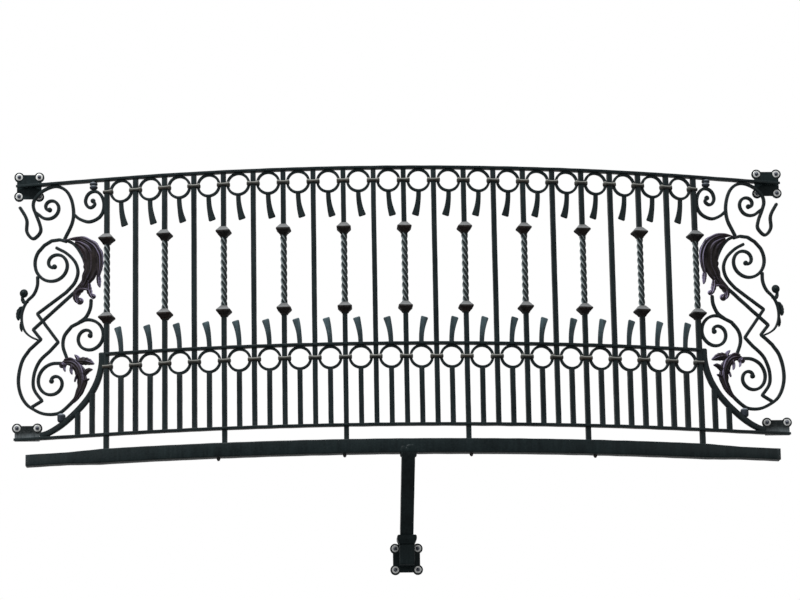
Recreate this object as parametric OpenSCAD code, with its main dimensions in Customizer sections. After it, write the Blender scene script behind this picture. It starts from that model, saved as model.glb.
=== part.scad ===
/* [Front] */
// Bays between the main posts
bays = 5; // [3:1:6]
// Spacing of the full-height bars along the rails
bar_pitch = 116; // [112:1:126]
// Radius of the bowed front, at the middle of the rails
front_radius = 4150; // [3400:10:6000]
// Side of the square bars
bar_w = 19; // [16:1:20]

/* [Heights] */
// Underside of the beam above the middle of the strut's wall plate
beam_z = 364; // [320:1:420]
// Clear gap between the beam and the bottom rail
foot_gap = 53; // [30:1:80]
// Clear height between the bottom rail and the mid rail
lower_clear = 304; // [280:1:340]
// Clear height between the mid rail and the top rail
upper_clear = 684; // [640:1:740]

/* [Rails and beam] */
// Width of the flat rails
rail_w = 30; // [26:1:36]
// Thickness of the flat rails
rail_t = 10; // [7:1:13]
// Depth of the beam, front to back
beam_w = 50; // [44:1:60]
// Height of the beam
beam_h = 54; // [44:1:64]
// Distance of the beam's ends from the tips of the rails
beam_inset = 44; // [30:1:70]
// Length along the wall from an end post to the tip of a rail
side_span = 355; // [330:1:390]

/* [Wall plates] */
// Thickness of the wall plates
plate_t = 8; // [6:1:12]
// Spacing of the bolts in the rails' wall plates
plate_pitch = 78; // [74:1:90]
// Radius of the round lobes that take the bolts
lobe_r = 19.5; // [16:0.5:22]
// Reach of a wall plate's body past the middles of its bolts
plate_cheek = 9; // [6:0.5:12]
// Diameter of the bolt holes
bolt_hole = 11; // [9:0.5:13]
// Distance of a rail plate's outer bolts from the tip of its rail
bolt_inset = 8; // [4:1:14]
// Height of the bottom plates' bolts above the bottom rail
low_bolt_rise = 41; // [36:1:50]
// Length of the corner that is dressed off a rail's tip to seat on its plate
tip_dress = 8; // [5:0.5:10]

/* [Strut] */
// Side of the strut
strut_w = 50; // [44:1:56]
// Sideways spacing of the bolts in the strut's plate
strut_pitch_x = 86; // [82:1:96]
// Upright spacing of the bolts in the strut's plate
strut_pitch_z = 82; // [78:1:90]
// Width of the shoe under the strut
shoe_w = 58; // [54:1:62]
// Height of the shoe
shoe_h = 79; // [70:1:84]
// Distance of the shoe's underside below the middle of its wall plate
shoe_drop = 28; // [20:1:34]
// Reach of the shoe from its wall plate
shoe_reach = 60; // [54:1:66]
// Width of the flared collar on the shoe
flare_w = 75; // [70:1:84]
// Height of the flared collar
flare_h = 33; // [26:1:38]

/* [Knuckles and twists] */
// Widest side of a knuckle
knuckle_w = 52; // [46:1:60]
// Height of a knuckle
knuckle_h = 42; // [36:1:50]
// Height of the rim round a knuckle
knuckle_rim = 5; // [3:1:8]
// Height of the domed cap above a knuckle's rim
knuckle_cap = 17; // [12:1:20]
// Wall that a knuckle keeps outside the bar at its ends
knuckle_wall = 3; // [2:0.5:6]
// Middle of the lower knuckles above the mid rail
low_knuckle_rise = 132; // [125:1:160]
// Middle of the upper knuckles below the top rail
high_knuckle_drop = 232; // [210:1:250]
// Quarter turns in a twisted length
quarter_turns = 10; // [5:1:12]

/* [Rings and tongues] */
// Clear gap between a ring and the bars beside it
ring_gap = 2; // [1:0.5:6]
// Thickness of a ring's bar, seen from the front
ring_bar = 10; // [8:0.5:12]
// Depth of a ring, front to back
ring_depth = 14; // [10:1:16]
// Flat that a ring is dressed to where it meets a rail
ring_bed = 1; // [0.5:0.25:2]
// Width of a ring collar across the bar
collar_w = 50; // [46:1:54]
// Height of a ring collar
collar_h = 16; // [12:1:20]
// Wall of a ring collar in front of and behind the bar
collar_wall = 4; // [3:0.5:6]
// Length of a tongue
tongue_len = 94; // [80:1:115]
// Width of a tongue at its root
tongue_root = 18; // [14:1:22]
// Width of a tongue at its flared end
tongue_flare = 29; // [24:1:34]
// Sideways bend of a tongue's end
tongue_bend = 15; // [8:1:20]
// Rounding of the corners at a tongue's end
tongue_round = 5; // [3:0.5:8]
// Thickness of a tongue
tongue_t = 9; // [6:1:12]

/* [Side scrolls] */
// Thickness of the scroll bars, seen from the side of the panel
scroll_w = 12; // [10:1:14]
// Depth of the scroll bars
scroll_d = 14; // [10:1:16]
// Thickness of the tail scroll's bar at its lower end
tail_tip = 7; // [5:0.5:9]
// Radius of the round eyes that end the spirals
eye_r = 9; // [7:0.5:11]
// Radius of the knobs that hold the scrolls off their neighbours
knob_r = 16; // [13:0.5:18]
// Thickness of the sweeping brace
sweep_w = 22; // [16:1:26]
// Thickness of the leaves
leaf_t = 10; // [6:1:14]

/* [Hidden] */
$fn = 64;

// The bars stand at even steps along the bow, half a bar spacing apart
bay_steps = 8;
knuckle_every = 4;
steps = bays * bay_steps;
mid_step = steps / 2;
step_a = bar_pitch / 2 / front_radius * 180 / PI;
half_a = mid_step * step_a;

// Plan of the bow: its end posts, the tips of its rails and its centre
tip_y = tip_dress - plate_t - rail_w / 2 * cos(half_a);
post_x = front_radius * sin(half_a);
post_y = tip_y - side_span * tan(half_a);
bow_y = post_y + front_radius * cos(half_a);
tip_x = post_x + side_span;
panel_len = side_span / cos(half_a);
plate_x = tip_x - bolt_inset - plate_pitch / 2;

// Heights of the members
beam_top = beam_z + beam_h;
bottom_z = beam_top + foot_gap;
bottom_top = bottom_z + rail_t;
mid_z = bottom_top + lower_clear;
mid_top = mid_z + rail_t;
top_z = mid_top + upper_clear;
ring_r = (bar_pitch - bar_w) / 2 - ring_gap;
low_ring_z = mid_z - ring_r + ring_bed;
high_ring_z = top_z - ring_r + ring_bed;
low_knuckle_z = mid_top + low_knuckle_rise;
high_knuckle_z = top_z - high_knuckle_drop;
panel_h = top_z - bottom_top;

// Margins by which a tool runs past what it cuts
past = 50;
sink = 5;

main_steps = [for (i = [0 : bay_steps : steps]) i];
bay_bar_steps = [for (i = [knuckle_every : bay_steps : steps]) i];
knuckle_steps = [for (i = [0 : knuckle_every : steps]) i];
plain_steps = [for (i = [2 : knuckle_every : steps]) i];
ring_steps = [for (i = [1 : 2 : steps]) i];
full_steps = [for (i = [0 : 2 : steps]) i];
passing_steps = [for (i = [2 : 2 : steps - 2]) i];

iron = "#23282a";
rusty = "#3a3129";
leaf_iron = "#393740";

// A point at a step along the bow, a distance outside the rails' middle line
function bow_point(i, out) =
    let (a = (i - mid_step) * step_a)
    [(front_radius + out) * sin(a), bow_y - (front_radius + out) * cos(a)];

// A point along the straight side of the plan, beyond the right end post
function side_point(u, out) =
    [post_x + u * cos(half_a) + out * sin(half_a), post_y + u * sin(half_a) - out * cos(half_a)];

function flip_x(points) = [for (p = points) [-p[0], p[1]]];
function backwards(list) = [for (i = [len(list) - 1 : -1 : 0]) list[i]];

// Plan outline of a member that follows the bow and its two straight sides
function bow_edge(out, reach) =
    let (side = [side_point(reach, out)])
    concat(flip_x(side), [for (i = [0 : steps]) bow_point(i, out)], side);

module bow_plan(width, reach) {
    polygon(concat(bow_edge(width / 2, reach), backwards(bow_edge(-width / 2, reach))));
}

// Places a thing made at the origin on a bar's place, its x along the rails
module at_step(i) {
    translate([0, bow_y, 0])
        rotate([0, 0, (i - mid_step) * step_a])
            translate([0, -front_radius, 0])
                children();
}

// Places a thing made round one bar on the place that lies k steps along
module step_along(k) {
    translate([0, front_radius, 0])
        rotate([0, 0, k * step_a])
            translate([0, -front_radius, 0])
                children();
}

module square_bar(z_low, z_high) {
    translate([-bar_w / 2, -bar_w / 2, z_low])
        cube([bar_w, bar_w, z_high - z_low]);
}

// Everything behind the face of the wall plates
module wall_side_plan() {
    translate([-2 * tip_x, -plate_t])
        square([4 * tip_x, front_radius]);
}

module rail(z_low) {
    translate([0, 0, z_low])
        linear_extrude(rail_t)
            difference() {
                bow_plan(rail_w, panel_len);
                wall_side_plan();
            }
}

module bottom_rail() {
    color(iron)
        difference() {
            rail(bottom_z);
            for (i = main_steps) at_step(i) square_bar(bottom_z - past, bottom_top + past);
        }
}

module top_rail() {
    color(iron) rail(top_z);
}

// The mid rail runs between the end posts and is punched for the bars
module mid_rail() {
    color(iron)
        difference() {
            translate([0, 0, mid_z])
                linear_extrude(rail_t)
                    bow_plan(rail_w, 0);
            for (i = passing_steps) at_step(i) square_bar(mid_z - past, mid_top + past);
            for (side = [0, 1])
                mirror([side, 0, 0])
                    at_step(steps)
                        translate([-bar_w / 2, -past, mid_z - past])
                            cube([past, 2 * past, 2 * past + rail_t]);
        }
}

module sill_beam() {
    color(iron)
        translate([0, 0, beam_z])
            linear_extrude(beam_h)
                difference() {
                    bow_plan(beam_w, panel_len);
                    translate([-2 * tip_x, 0]) square([4 * tip_x, front_radius]);
                    for (side = [0, 1])
                        mirror([side, 0])
                            translate([tip_x - beam_inset, -tip_x]) square([tip_x, 2 * tip_x]);
                }
}

// A flat plate against the wall with round lobes at its bolts
module wall_plate(spans, body) {
    difference() {
        rotate([90, 0, 0])
            linear_extrude(plate_t) {
                translate([0, body[1]])
                    square([body[0], body[2]], center = true);
                for (p = spans) {
                    translate(p) circle(lobe_r);
                    translate([p[0] / 2, p[1]])
                        square([abs(p[0]), lobe_r], center = true);
                }
            }
        for (p = spans)
            translate([p[0], past, p[1]])
                rotate([90, 0, 0])
                    cylinder(r = bolt_hole / 2, h = 2 * past + plate_t);
    }
}

function four_bolts(span_x, span_z) =
    [for (x = [-1, 1], z = [-1, 1]) [x * span_x / 2, z * span_z / 2]];

module strut_wall_plate() {
    color(iron)
        wall_plate(four_bolts(strut_pitch_x, strut_pitch_z),
            [strut_pitch_x + 2 * plate_cheek, 0, strut_pitch_z + 2 * plate_cheek]);
}

module top_plates() {
    color(iron)
        for (side = [-1, 1])
            translate([side * plate_x, 0, top_z + rail_t / 2])
                wall_plate(four_bolts(plate_pitch, plate_pitch),
                    [plate_pitch + 2 * plate_cheek, 0, plate_pitch + 2 * plate_cheek]);
}

module bottom_plates() {
    foot = rail_t + low_bolt_rise + plate_cheek / 2;
    color(iron)
        for (side = [-1, 1])
            translate([side * plate_x, 0, bottom_top + low_bolt_rise])
                wall_plate([[-plate_pitch / 2, 0], [plate_pitch / 2, 0]],
                    [plate_pitch + 2 * plate_cheek, -foot / 2, foot]);
}

// The shoe is a short box on the wall plate whose top flares out into a square collar
shoe_z = -shoe_drop;
flare_z = shoe_z + shoe_h;
strut_foot = flare_z + flare_h;
foot_y = -plate_t - flare_w / 2;
flare_taper = flare_h / 2;
flare_edge = flare_h / 9;

module flare_side() {
    rotate([90, 0, 0])
        linear_extrude(2 * flare_w, center = true)
            polygon([
                [-shoe_w / 2, flare_z], [shoe_w / 2, flare_z],
                [flare_w / 2, flare_z + flare_taper], [flare_w / 2, strut_foot - flare_edge],
                [flare_w / 2 - flare_edge, strut_foot], [flare_edge - flare_w / 2, strut_foot],
                [-flare_w / 2, strut_foot - flare_edge], [-flare_w / 2, flare_z + flare_taper]
            ]);
}

module strut_shoe() {
    color(iron) {
        translate([-shoe_w / 2, -plate_t - shoe_reach, shoe_z])
            cube([shoe_w, shoe_reach, shoe_h]);
        translate([0, foot_y, 0])
            intersection() {
                flare_side();
                rotate([0, 0, 90]) flare_side();
            }
    }
}

module centre_strut() {
    top_y = bow_y - front_radius;
    rise = beam_z - strut_foot;
    run = top_y - foot_y;
    reach = norm([run, rise]);
    lean = atan2(-run, rise);
    color(iron)
        intersection() {
            translate([0, foot_y, strut_foot])
                rotate([lean, 0, 0])
                    translate([-strut_w / 2, -strut_w / 2, -reach])
                        cube([strut_w, strut_w, 3 * reach]);
            translate([-strut_w, top_y - reach, strut_foot])
                cube([2 * strut_w, 2 * reach, rise]);
        }
}

// The posts stand on the beam and pass the bottom rail, the other knuckled bars stand on the rail
module main_posts() {
    color(iron)
        for (i = main_steps) at_step(i) square_bar(beam_top, low_knuckle_z + knuckle_h / 2);
}

module bay_bars() {
    color(iron)
        for (i = bay_bar_steps) at_step(i) square_bar(bottom_top, low_knuckle_z + knuckle_h / 2);
}

module upper_bar_lengths() {
    color(iron)
        for (i = knuckle_steps) at_step(i) square_bar(high_knuckle_z - knuckle_h / 2, top_z);
}

module plain_bars() {
    color(iron)
        for (i = plain_steps) at_step(i) square_bar(bottom_top, top_z);
}

twist_low = low_knuckle_z + knuckle_h / 2;
twist_len = high_knuckle_z - knuckle_h / 2 - twist_low;
slices_per_quarter = 6;

module twisted_lengths() {
    color(iron)
        for (i = knuckle_steps)
            at_step(i)
                translate([0, 0, twist_low])
                    linear_extrude(twist_len, twist = 90 * quarter_turns,
                            slices = slices_per_quarter * quarter_turns, segments = 4)
                        square(bar_w, center = true);
}

// Half of a knuckle's side view, as half widths and heights from its middle: a straight taper
// from the bar out to the rim, and a domed cap that follows a quarter of an ellipse above it
rim_top = knuckle_h / 2 - knuckle_cap;
knuckle_end = bar_w / 2 + knuckle_wall;
dome_reach = knuckle_w / 2 - knuckle_end;
dome_fullness = 0.18;
knuckle_half = concat(
    [[0, -knuckle_h / 2], [knuckle_end, -knuckle_h / 2], [knuckle_w / 2, rim_top - knuckle_rim]],
    [for (t = [0 : 0.25 : 1])
        [knuckle_end + dome_reach * (1 - t + dome_fullness * sin(180 * t)),
            rim_top + knuckle_cap * t]],
    [[0, knuckle_h / 2]]);

module knuckle_outline() {
    polygon(concat(knuckle_half, backwards(flip_x(knuckle_half))));
}

module knuckle_side() {
    rotate([90, 0, 0])
        linear_extrude(2 * knuckle_w, center = true)
            knuckle_outline();
}

module knuckle() {
    difference() {
        intersection() {
            knuckle_side();
            rotate([0, 0, 90]) knuckle_side();
        }
        square_bar(-knuckle_h, knuckle_h);
    }
}

module upper_knuckles() {
    color(rusty)
        for (i = knuckle_steps)
            at_step(i) translate([0, 0, high_knuckle_z]) knuckle();
}

module lower_knuckles() {
    color(rusty)
        for (i = knuckle_steps)
            at_step(i) translate([0, 0, low_knuckle_z]) knuckle();
}

// A ring hangs under a rail between two bars
module ring(z) {
    translate([0, 0, z])
        rotate([90, 0, 0])
            difference() {
                cylinder(r = ring_r, h = ring_depth, center = true);
                cylinder(r = ring_r - ring_bar, h = 2 * ring_depth, center = true);
            }
}

module ring_space(z) {
    translate([0, 0, z])
        rotate([90, 0, 0])
            cylinder(r = ring_r, h = 4 * ring_depth, center = true);
}

module ring_row(z) {
    for (i = ring_steps)
        at_step(i)
            difference() {
                ring(z);
                translate([-past, -past, z + ring_r - ring_bed])
                    cube([2 * past, 2 * past, past]);
            }
}

module lower_rings() {
    color(iron) ring_row(low_ring_z);
}

module upper_rings() {
    color(iron) ring_row(high_ring_z);
}

module short_bars() {
    color(iron)
        for (i = ring_steps)
            at_step(i)
                difference() {
                    square_bar(bottom_top, low_ring_z - ring_r + sink);
                    ring_space(low_ring_z);
                }
}

// A collar holds a bar between its two neighbour rings
collar_depth = bar_w + 2 * collar_wall;
wrap = collar_w / 2 - collar_wall;

module collar(z, i) {
    left = i == 0 ? collar_depth / 2 : collar_w / 2;
    right = i == steps ? collar_depth / 2 : collar_w / 2;
    difference() {
        translate([0, 0, z - collar_h / 2])
            linear_extrude(collar_h) {
                translate([-left, -ring_depth / 2]) square([left + right, ring_depth]);
                translate([-min(left, wrap), -collar_depth / 2])
                    square([min(left, wrap) + min(right, wrap), collar_depth]);
            }
        square_bar(z - collar_h, z + collar_h);
        for (k = [-1, 1])
            if (i + k > 0 && i + k < steps) step_along(k) ring(z);
    }
}

module lower_collars() {
    color(rusty)
        for (i = full_steps) at_step(i) collar(low_ring_z, i);
}

module upper_collars() {
    color(rusty)
        for (i = full_steps) at_step(i) collar(high_ring_z, i);
}

// Outline of a tongue that grows wider as it bends away to one side and ends in rounded corners
tongue_parts = 7;
corner_parts = 4;
tongue_spread = tongue_flare - tongue_root;
tongue_shoulder = 1 - tongue_round / tongue_len;
function tongue_mark(side, t, a) =
    let (half = (tongue_root + tongue_spread * t * t) / 2 - tongue_round * (1 - cos(a)))
    [tongue_bend * t * t + side * half, tongue_len * t - side * tongue_bend * t * t / 3];
function tongue_edge(side) = concat(
    [for (k = [0 : tongue_parts]) tongue_mark(side, tongue_shoulder * k / tongue_parts, 0)],
    [for (k = [1 : corner_parts])
        let (a = 90 * k / corner_parts)
        tongue_mark(side, tongue_shoulder + (1 - tongue_shoulder) * sin(a), a)]);

module tongue(side) {
    rotate([90, 0, 0])
        linear_extrude(tongue_t, center = true)
            mirror([side < 0 ? 1 : 0, 0])
                polygon(concat(tongue_edge(-1), backwards(tongue_edge(1))));
}

module hanging_tongues() {
    color(iron)
        for (i = ring_steps)
            at_step(i)
                difference() {
                    translate([0, 0, high_ring_z - ring_r + sink])
                        mirror([0, 0, 1])
                            tongue(i < mid_step ? 1 : -1);
                    ring_space(high_ring_z);
                }
}

module standing_tongues() {
    color(iron)
        for (i = ring_steps)
            at_step(i)
                translate([0, 0, mid_top])
                    tongue(i < mid_step ? -1 : 1);
}

// Side panels are drawn with u from the end post to the wall and z up, in hundredths of the panel
function on_panel(p) = [p[0] / 100 * panel_len, bottom_top + p[1] / 100 * panel_h];
function panel_points(points) = [for (p = points) on_panel(p)];

// A length in the same hundredths of the panel's height
function in_panel(v) = v / 100 * panel_h;

// A spiral about a panel's point from one angle to another, its radius easing from r0 to r1
function spiral(centre, a0, a1, r0, r1, ease, parts) =
    [for (k = [0 : parts])
        let (t = k / parts, a = a0 + (a1 - a0) * t, r = r1 + (r0 - r1) * pow(1 - t, ease))
        on_panel(centre) + in_panel(r) * [cos(a), sin(a)]];

// A smooth curve through points, by Catmull and Rom's rule
function curve_at(a, b, c, d, t) =
    0.5 * (2 * b + (c - a) * t + (2 * a - 5 * b + 4 * c - d) * t * t
        + (3 * b - a - 3 * c + d) * t * t * t);

function smooth(points, parts) =
    let (n = len(points), first = 2 * points[0] - points[1],
        last = 2 * points[n - 1] - points[n - 2])
    concat([for (i = [0 : n - 2], k = [0 : parts - 1])
        curve_at(i == 0 ? first : points[i - 1], points[i], points[i + 1],
            i == n - 2 ? last : points[i + 2], k / parts)], [points[n - 1]]);

function unit(v) = v / norm(v);
function turned(v) = [-v[1], v[0]];

// Sideways reach of a bar's edge at a point of its path, with mitred corners
function edge_way(path, i) =
    let (n = len(path),
        before = unit(path[max(i, 1)] - path[max(i, 1) - 1]),
        after = unit(path[min(i, n - 2) + 1] - path[min(i, n - 2)]),
        way = unit(turned(before + after)))
    way / (way * turned(after));

function edge_points(path, width, side) =
    [for (i = [0 : len(path) - 1]) path[i] + side * width(i / (len(path) - 1)) / 2 * edge_way(path, i)];

module bar_along(path, width) {
    polygon(concat(edge_points(path, width, 1), backwards(edge_points(path, width, -1))));
}

module panel_extrude(depth) {
    rotate([90, 0, 0])
        linear_extrude(depth, center = true)
            children();
}

// Places a side panel beyond each end post, the left one as a mirror image
module on_sides() {
    for (side = [0, 1])
        mirror([side, 0, 0])
            at_step(steps)
                children();
}

scroll_width = function(t) scroll_w;
tail_width = function(t) scroll_w - (scroll_w - tail_tip) * t;
sweep_width = function(t) sweep_w;

// Room taken in the plane of a side panel by the end post, its knuckles and collars, and the rails
module frame_space() {
    translate([-past, -past]) square([past + bar_w / 2, 2 * top_z]);
    translate([-past, twist_low]) square([past + bar_w / sqrt(2), twist_len]);
    translate([-past, top_z]) square([2 * panel_len, past]);
    translate([-past, bottom_top - 2 * past]) square([2 * panel_len, 2 * past]);
    for (z = [low_knuckle_z, high_knuckle_z]) translate([0, z]) knuckle_outline();
    for (z = [low_ring_z, high_ring_z])
        translate([0, z]) square([collar_depth, collar_h], center = true);
}

crook_path = smooth(panel_points([
    [47, 77.6], [38, 84.5], [37.5, 90.8], [43.5, 96.6], [55.5, 99.4], [70, 98.2], [79.5, 95.2],
    [81.8, 92.3], [78.8, 88.8], [74.7, 85], [73.5, 81.5], [81.5, 79], [88.6, 82], [89, 87],
    [97, 92.3]
]), 4);
crook_eye_path = concat(
    [on_panel([80, 89.8])],
    spiral([63, 91], -35, -440, 5, 0.9, 1, 30));
post_scroll_path = smooth(panel_points([
    [37.2, 87.8], [30, 85.5], [20, 84.1], [9.6, 85.3], [4.4, 87.8], [3.4, 91], [6, 94.1],
    [11.5, 96], [17.5, 96], [22, 94.6], [23.7, 92.2], [21, 90.2], [16.8, 89.8], [13.4, 91],
    [15.5, 92.4]
]), 4);
snail_path = concat(
    panel_points([[44, 76.8], [52, 77.8], [61, 77.6], [69, 76]]),
    spiral([57.6, 68], 40, -450, 8.6, 0.9, 1, 36));
tail_path = smooth(panel_points([
    [76.3, 63.8], [76.6, 60], [80.6, 56.6], [88, 54], [92.3, 50.8], [93.6, 47.6], [92.4, 44.4],
    [88.6, 41.6], [82.4, 39.7], [75, 38.4]
]), 4);
inner_bar_path = concat(
    smooth(panel_points([[56.5, 74.8], [45, 72.3], [35.5, 68.7], [31.7, 64.5], [35.2, 60.2],
        [44.4, 56.6]]), 4),
    panel_points([[76.3, 48.8], [53, 37]]),
    smooth(panel_points([[62, 33.7], [72.5, 30.3], [78.5, 26], [80.3, 21.6], [78.2, 18.2],
        [70.3, 14.3]]), 4),
    [on_panel([82, 12])]);
outer_bar_path = concat(
    smooth(panel_points([[46, 77.6], [37, 75.8], [29, 72], [23.2, 66.5], [25.5, 61],
        [35.2, 56.4]]), 4),
    panel_points([[80.7, 42.6], [72, 38.6]]),
    smooth(panel_points([[84.5, 34.8], [92.5, 30.5], [96.5, 24], [95, 18.6], [89, 14],
        [80, 11.2], [69, 9.2], [57.4, 8.7], [47.6, 9.8], [32.2, 15], [25.4, 19.8], [28.4, 24.3],
        [42.2, 30]]), 4));
lower_spiral_path = concat(
    panel_points([[44, 27.6], [50, 28.6]]),
    spiral([58, 21.3], 92, -330, 7.4, 0.9, 0.9, 32));
tendril_path = concat(
    smooth(panel_points([[43, 30], [47.6, 35], [46.3, 39.2], [38.4, 42.8]]), 4),
    spiral([20, 38.2], 75, 505, 7, 0.9, 0.62, 32));
stem_path = smooth(panel_points([[17, 53.2], [18, 49.5], [23, 46], [31, 44]]), 4);
sweep_path = smooth(panel_points([
    [5, 31.6], [5.4, 26.9], [9.6, 20.8], [18.2, 15], [30.3, 9.9], [47.6, 4.6], [62, 1.6],
    [75, 0]
]), 4);

// A leaf is made of blades that swell and narrow along their paths, each with its widest size
function blade_width(w, t) = w * pow(sin(18 + 158 * t), 0.7);

upper_blades = [
    [[[30.8, 77], [20.4, 74.6], [10.5, 71.6], [6.2, 67.6], [7, 63.6], [8.6, 61]], 5],
    [[[31, 75], [23, 72.6], [17, 69.4], [15.4, 65.6], [17, 62.2], [21, 59.4], [25.4, 56]], 7],
    [[[8.8, 63.5], [8.2, 60], [6.6, 57.1]], 2],
    [[[21.5, 60.8], [27, 58.2], [31.6, 55.4], [32, 52.2], [28.5, 51.4]], 4],
    [[[19, 60.4], [17.4, 56.4], [14.2, 53.2], [11, 53.2]], 2.4]
];
upper_curls = [[[28, 52], 1.6], [[12.6, 53.8], 0.9]];
lower_blades = [
    [[[47, 28.2], [42, 28.8], [35, 28], [30, 25.9], [26.6, 23], [25.6, 20.4], [27, 17.8],
        [31, 14.6], [36.6, 12.2]], 4.2],
    [[[30, 28], [30.4, 29.8], [33.8, 31.3]], 1.7],
    [[[34, 28], [28, 28.7], [20.7, 28.4], [12.5, 27.3]], 3.2],
    [[[28.6, 24], [23.6, 23.8], [19.2, 24.9], [14.3, 25.2]], 2.2],
    [[[26, 21.1], [21.6, 21], [17.7, 21.5]], 1.3],
    [[[43.5, 28.3], [45.4, 26.6], [44.3, 24.9]], 1.3],
    [[[36.6, 27.8], [37.8, 25.6], [36.8, 23.6]], 1.5],
    [[[29.4, 24], [32.2, 22.5], [33.6, 20.6]], 1.2]
];
lower_curls = [[[47.6, 27.7], 1.3]];
tail_buds = [
    [[[86.4, 53.9], [90.4, 53.7], [93, 55], [92.8, 57.2]], 1.6],
    [[[91, 51.9], [95, 50.9], [96.9, 49.1], [97.4, 46.8]], 2.8],
    [[[93.4, 46.9], [94.6, 44.4], [93.4, 42.2]], 1.4]
];
tail_curls = [[[92, 57.5], 1.7]];

module blades(list) {
    for (b = list)
        bar_along(smooth(panel_points(b[0]), 4), function(t) blade_width(in_panel(b[1]), t));
}

// Round curls that end a leaf's blades, each with its middle and its radius
module curls(list) {
    for (c = list)
        translate(on_panel(c[0])) circle(in_panel(c[1]));
}

// A scroll bar that ends in a round eye
module eyed_bar(path) {
    bar_along(path, scroll_width);
    translate(path[len(path) - 1]) circle(eye_r);
}

module crook_plan() { bar_along(crook_path, scroll_width); }
module crook_eye_plan() { eyed_bar(crook_eye_path); }
module post_scroll_plan() { eyed_bar(post_scroll_path); }
module snail_plan() { eyed_bar(snail_path); }
module tail_plan() {
    bar_along(tail_path, tail_width);
    blades(tail_buds);
    curls(tail_curls);
}
module inner_bar_plan() { bar_along(inner_bar_path, scroll_width); }
module outer_bar_plan() { bar_along(outer_bar_path, scroll_width); }
module lower_spiral_plan() { eyed_bar(lower_spiral_path); }
module tendril_plan() {
    eyed_bar(tendril_path);
    bar_along(stem_path, scroll_width);
}
module sweep_plan() { bar_along(sweep_path, sweep_width); }

// A flat piece of both side panels, cut to a plan
module panel_piece(depth) {
    on_sides() panel_extrude(depth) children();
}

module crook_scrolls() {
    color(iron)
        panel_piece(scroll_d)
            difference() { crook_plan(); frame_space(); outer_bar_plan(); }
}

module crook_eyes() {
    color(iron)
        panel_piece(scroll_d)
            difference() { crook_eye_plan(); crook_plan(); }
}

module post_scrolls() {
    color(iron)
        panel_piece(scroll_d)
            difference() { post_scroll_plan(); frame_space(); crook_plan(); }
}

module snail_scrolls() {
    color(iron)
        panel_piece(scroll_d)
            difference() { snail_plan(); crook_plan(); outer_bar_plan(); }
}

module tail_scrolls() {
    color(iron)
        panel_piece(scroll_d)
            difference() { tail_plan(); snail_plan(); outer_bar_plan(); }
}

// The two broken bars cross once, each cut away to half its depth there
cross_place = [69, 45.6];
cross_size = in_panel(7);

module crossing_zone() {
    translate(on_panel(cross_place)) square(cross_size, center = true);
}

module halving(side) {
    panel_extrude_from(side)
        intersection() { inner_bar_plan(); outer_bar_plan(); crossing_zone(); }
}

// Draws a plan out from the middle plane of a panel to its outer or inner side
module panel_extrude_from(side) {
    translate([0, side < 0 ? 0 : past, 0])
        rotate([90, 0, 0])
            linear_extrude(past)
                children();
}

module inner_broken_bars() {
    color(iron)
        on_sides()
            difference() {
                panel_extrude(scroll_d)
                    difference() {
                        inner_bar_plan();
                        snail_plan();
                        difference() { outer_bar_plan(); crossing_zone(); }
                    }
                halving(1);
            }
}

module outer_broken_bars() {
    color(iron)
        on_sides()
            difference() {
                panel_extrude(scroll_d) outer_bar_plan();
                halving(-1);
            }
}

module lower_spirals() {
    color(iron)
        panel_piece(scroll_d)
            difference() { lower_spiral_plan(); outer_bar_plan(); }
}

module tendril_scrolls() {
    color(iron)
        panel_piece(scroll_d)
            difference() { tendril_plan(); frame_space(); outer_bar_plan(); lower_spiral_plan(); }
}

// The leaves lie on the outer faces of the scrolls
module leaf_piece() {
    color(leaf_iron)
        on_sides()
            translate([0, -(scroll_d + leaf_t) / 2, 0])
                panel_extrude(leaf_t)
                    difference() {
                        children([0 : $children - 1]);
                        frame_space();
                        sweep_plan();
                    }
}

module upper_leaves() {
    leaf_piece() {
        blades(upper_blades);
        curls(upper_curls);
    }
}

module lower_leaves() {
    leaf_piece() {
        blades(lower_blades);
        curls(lower_curls);
    }
}

module sweep_braces() {
    color(iron)
        panel_piece(bar_w)
            difference() { sweep_plan(); frame_space(); }
}

// Short bars stand between the bottom rail and the sweeping brace, each cut off within it
side_bar_tops = [[15.4, 16.8], [31.2, 9.8]];

module side_bars() {
    color(iron)
        panel_piece(bar_w)
            difference() {
                for (p = side_bar_tops)
                    translate(on_panel([p[0], 0]) - [bar_w / 2, 0])
                        square([bar_w, panel_h * p[1] / 100]);
                sweep_plan();
            }
}

// Knobs: one between the top rail and the post scroll, one between the outer bar and the brace
module knob(place, h) {
    translate([on_panel(place)[0], 0, on_panel(place)[1]])
        cylinder(r = knob_r, h = in_panel(h), center = true);
}

module scroll_knobs() {
    color(rusty)
        on_sides()
            difference() {
                union() {
                    knob([14.8, 98.5], 3.4);
                    knob([49, 7.2], 4.1);
                }
                panel_extrude(2 * past) {
                    frame_space();
                    post_scroll_plan();
                    outer_bar_plan();
                    sweep_plan();
                }
            }
}

strut_wall_plate();
strut_shoe();
centre_strut();
sill_beam();
bottom_rail();
mid_rail();
top_rail();
top_plates();
bottom_plates();
main_posts();
bay_bars();
upper_bar_lengths();
twisted_lengths();
lower_knuckles();
upper_knuckles();
plain_bars();
short_bars();
lower_rings();
upper_rings();
lower_collars();
upper_collars();
hanging_tongues();
standing_tongues();
side_bars();
sweep_braces();
scroll_knobs();
crook_scrolls();
crook_eyes();
post_scrolls();
snail_scrolls();
tail_scrolls();
inner_broken_bars();
outer_broken_bars();
lower_spirals();
tendril_scrolls();
upper_leaves();
lower_leaves();
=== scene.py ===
# %% [markdown]
# # A bowed juliet balcony in wrought iron
# The balcony is a railing of square bars between three flat rails. Its front bows outward, and its two
# straight sides carry scrolls and leaves. A packed frame gives the place of every part, so nothing here
# is fitted by eye: each visible piece is drawn again, in metres, on top of the frame's own solids.

import bmesh
import bpy
import numpy as np
from mathutils import Matrix, Vector


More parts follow.
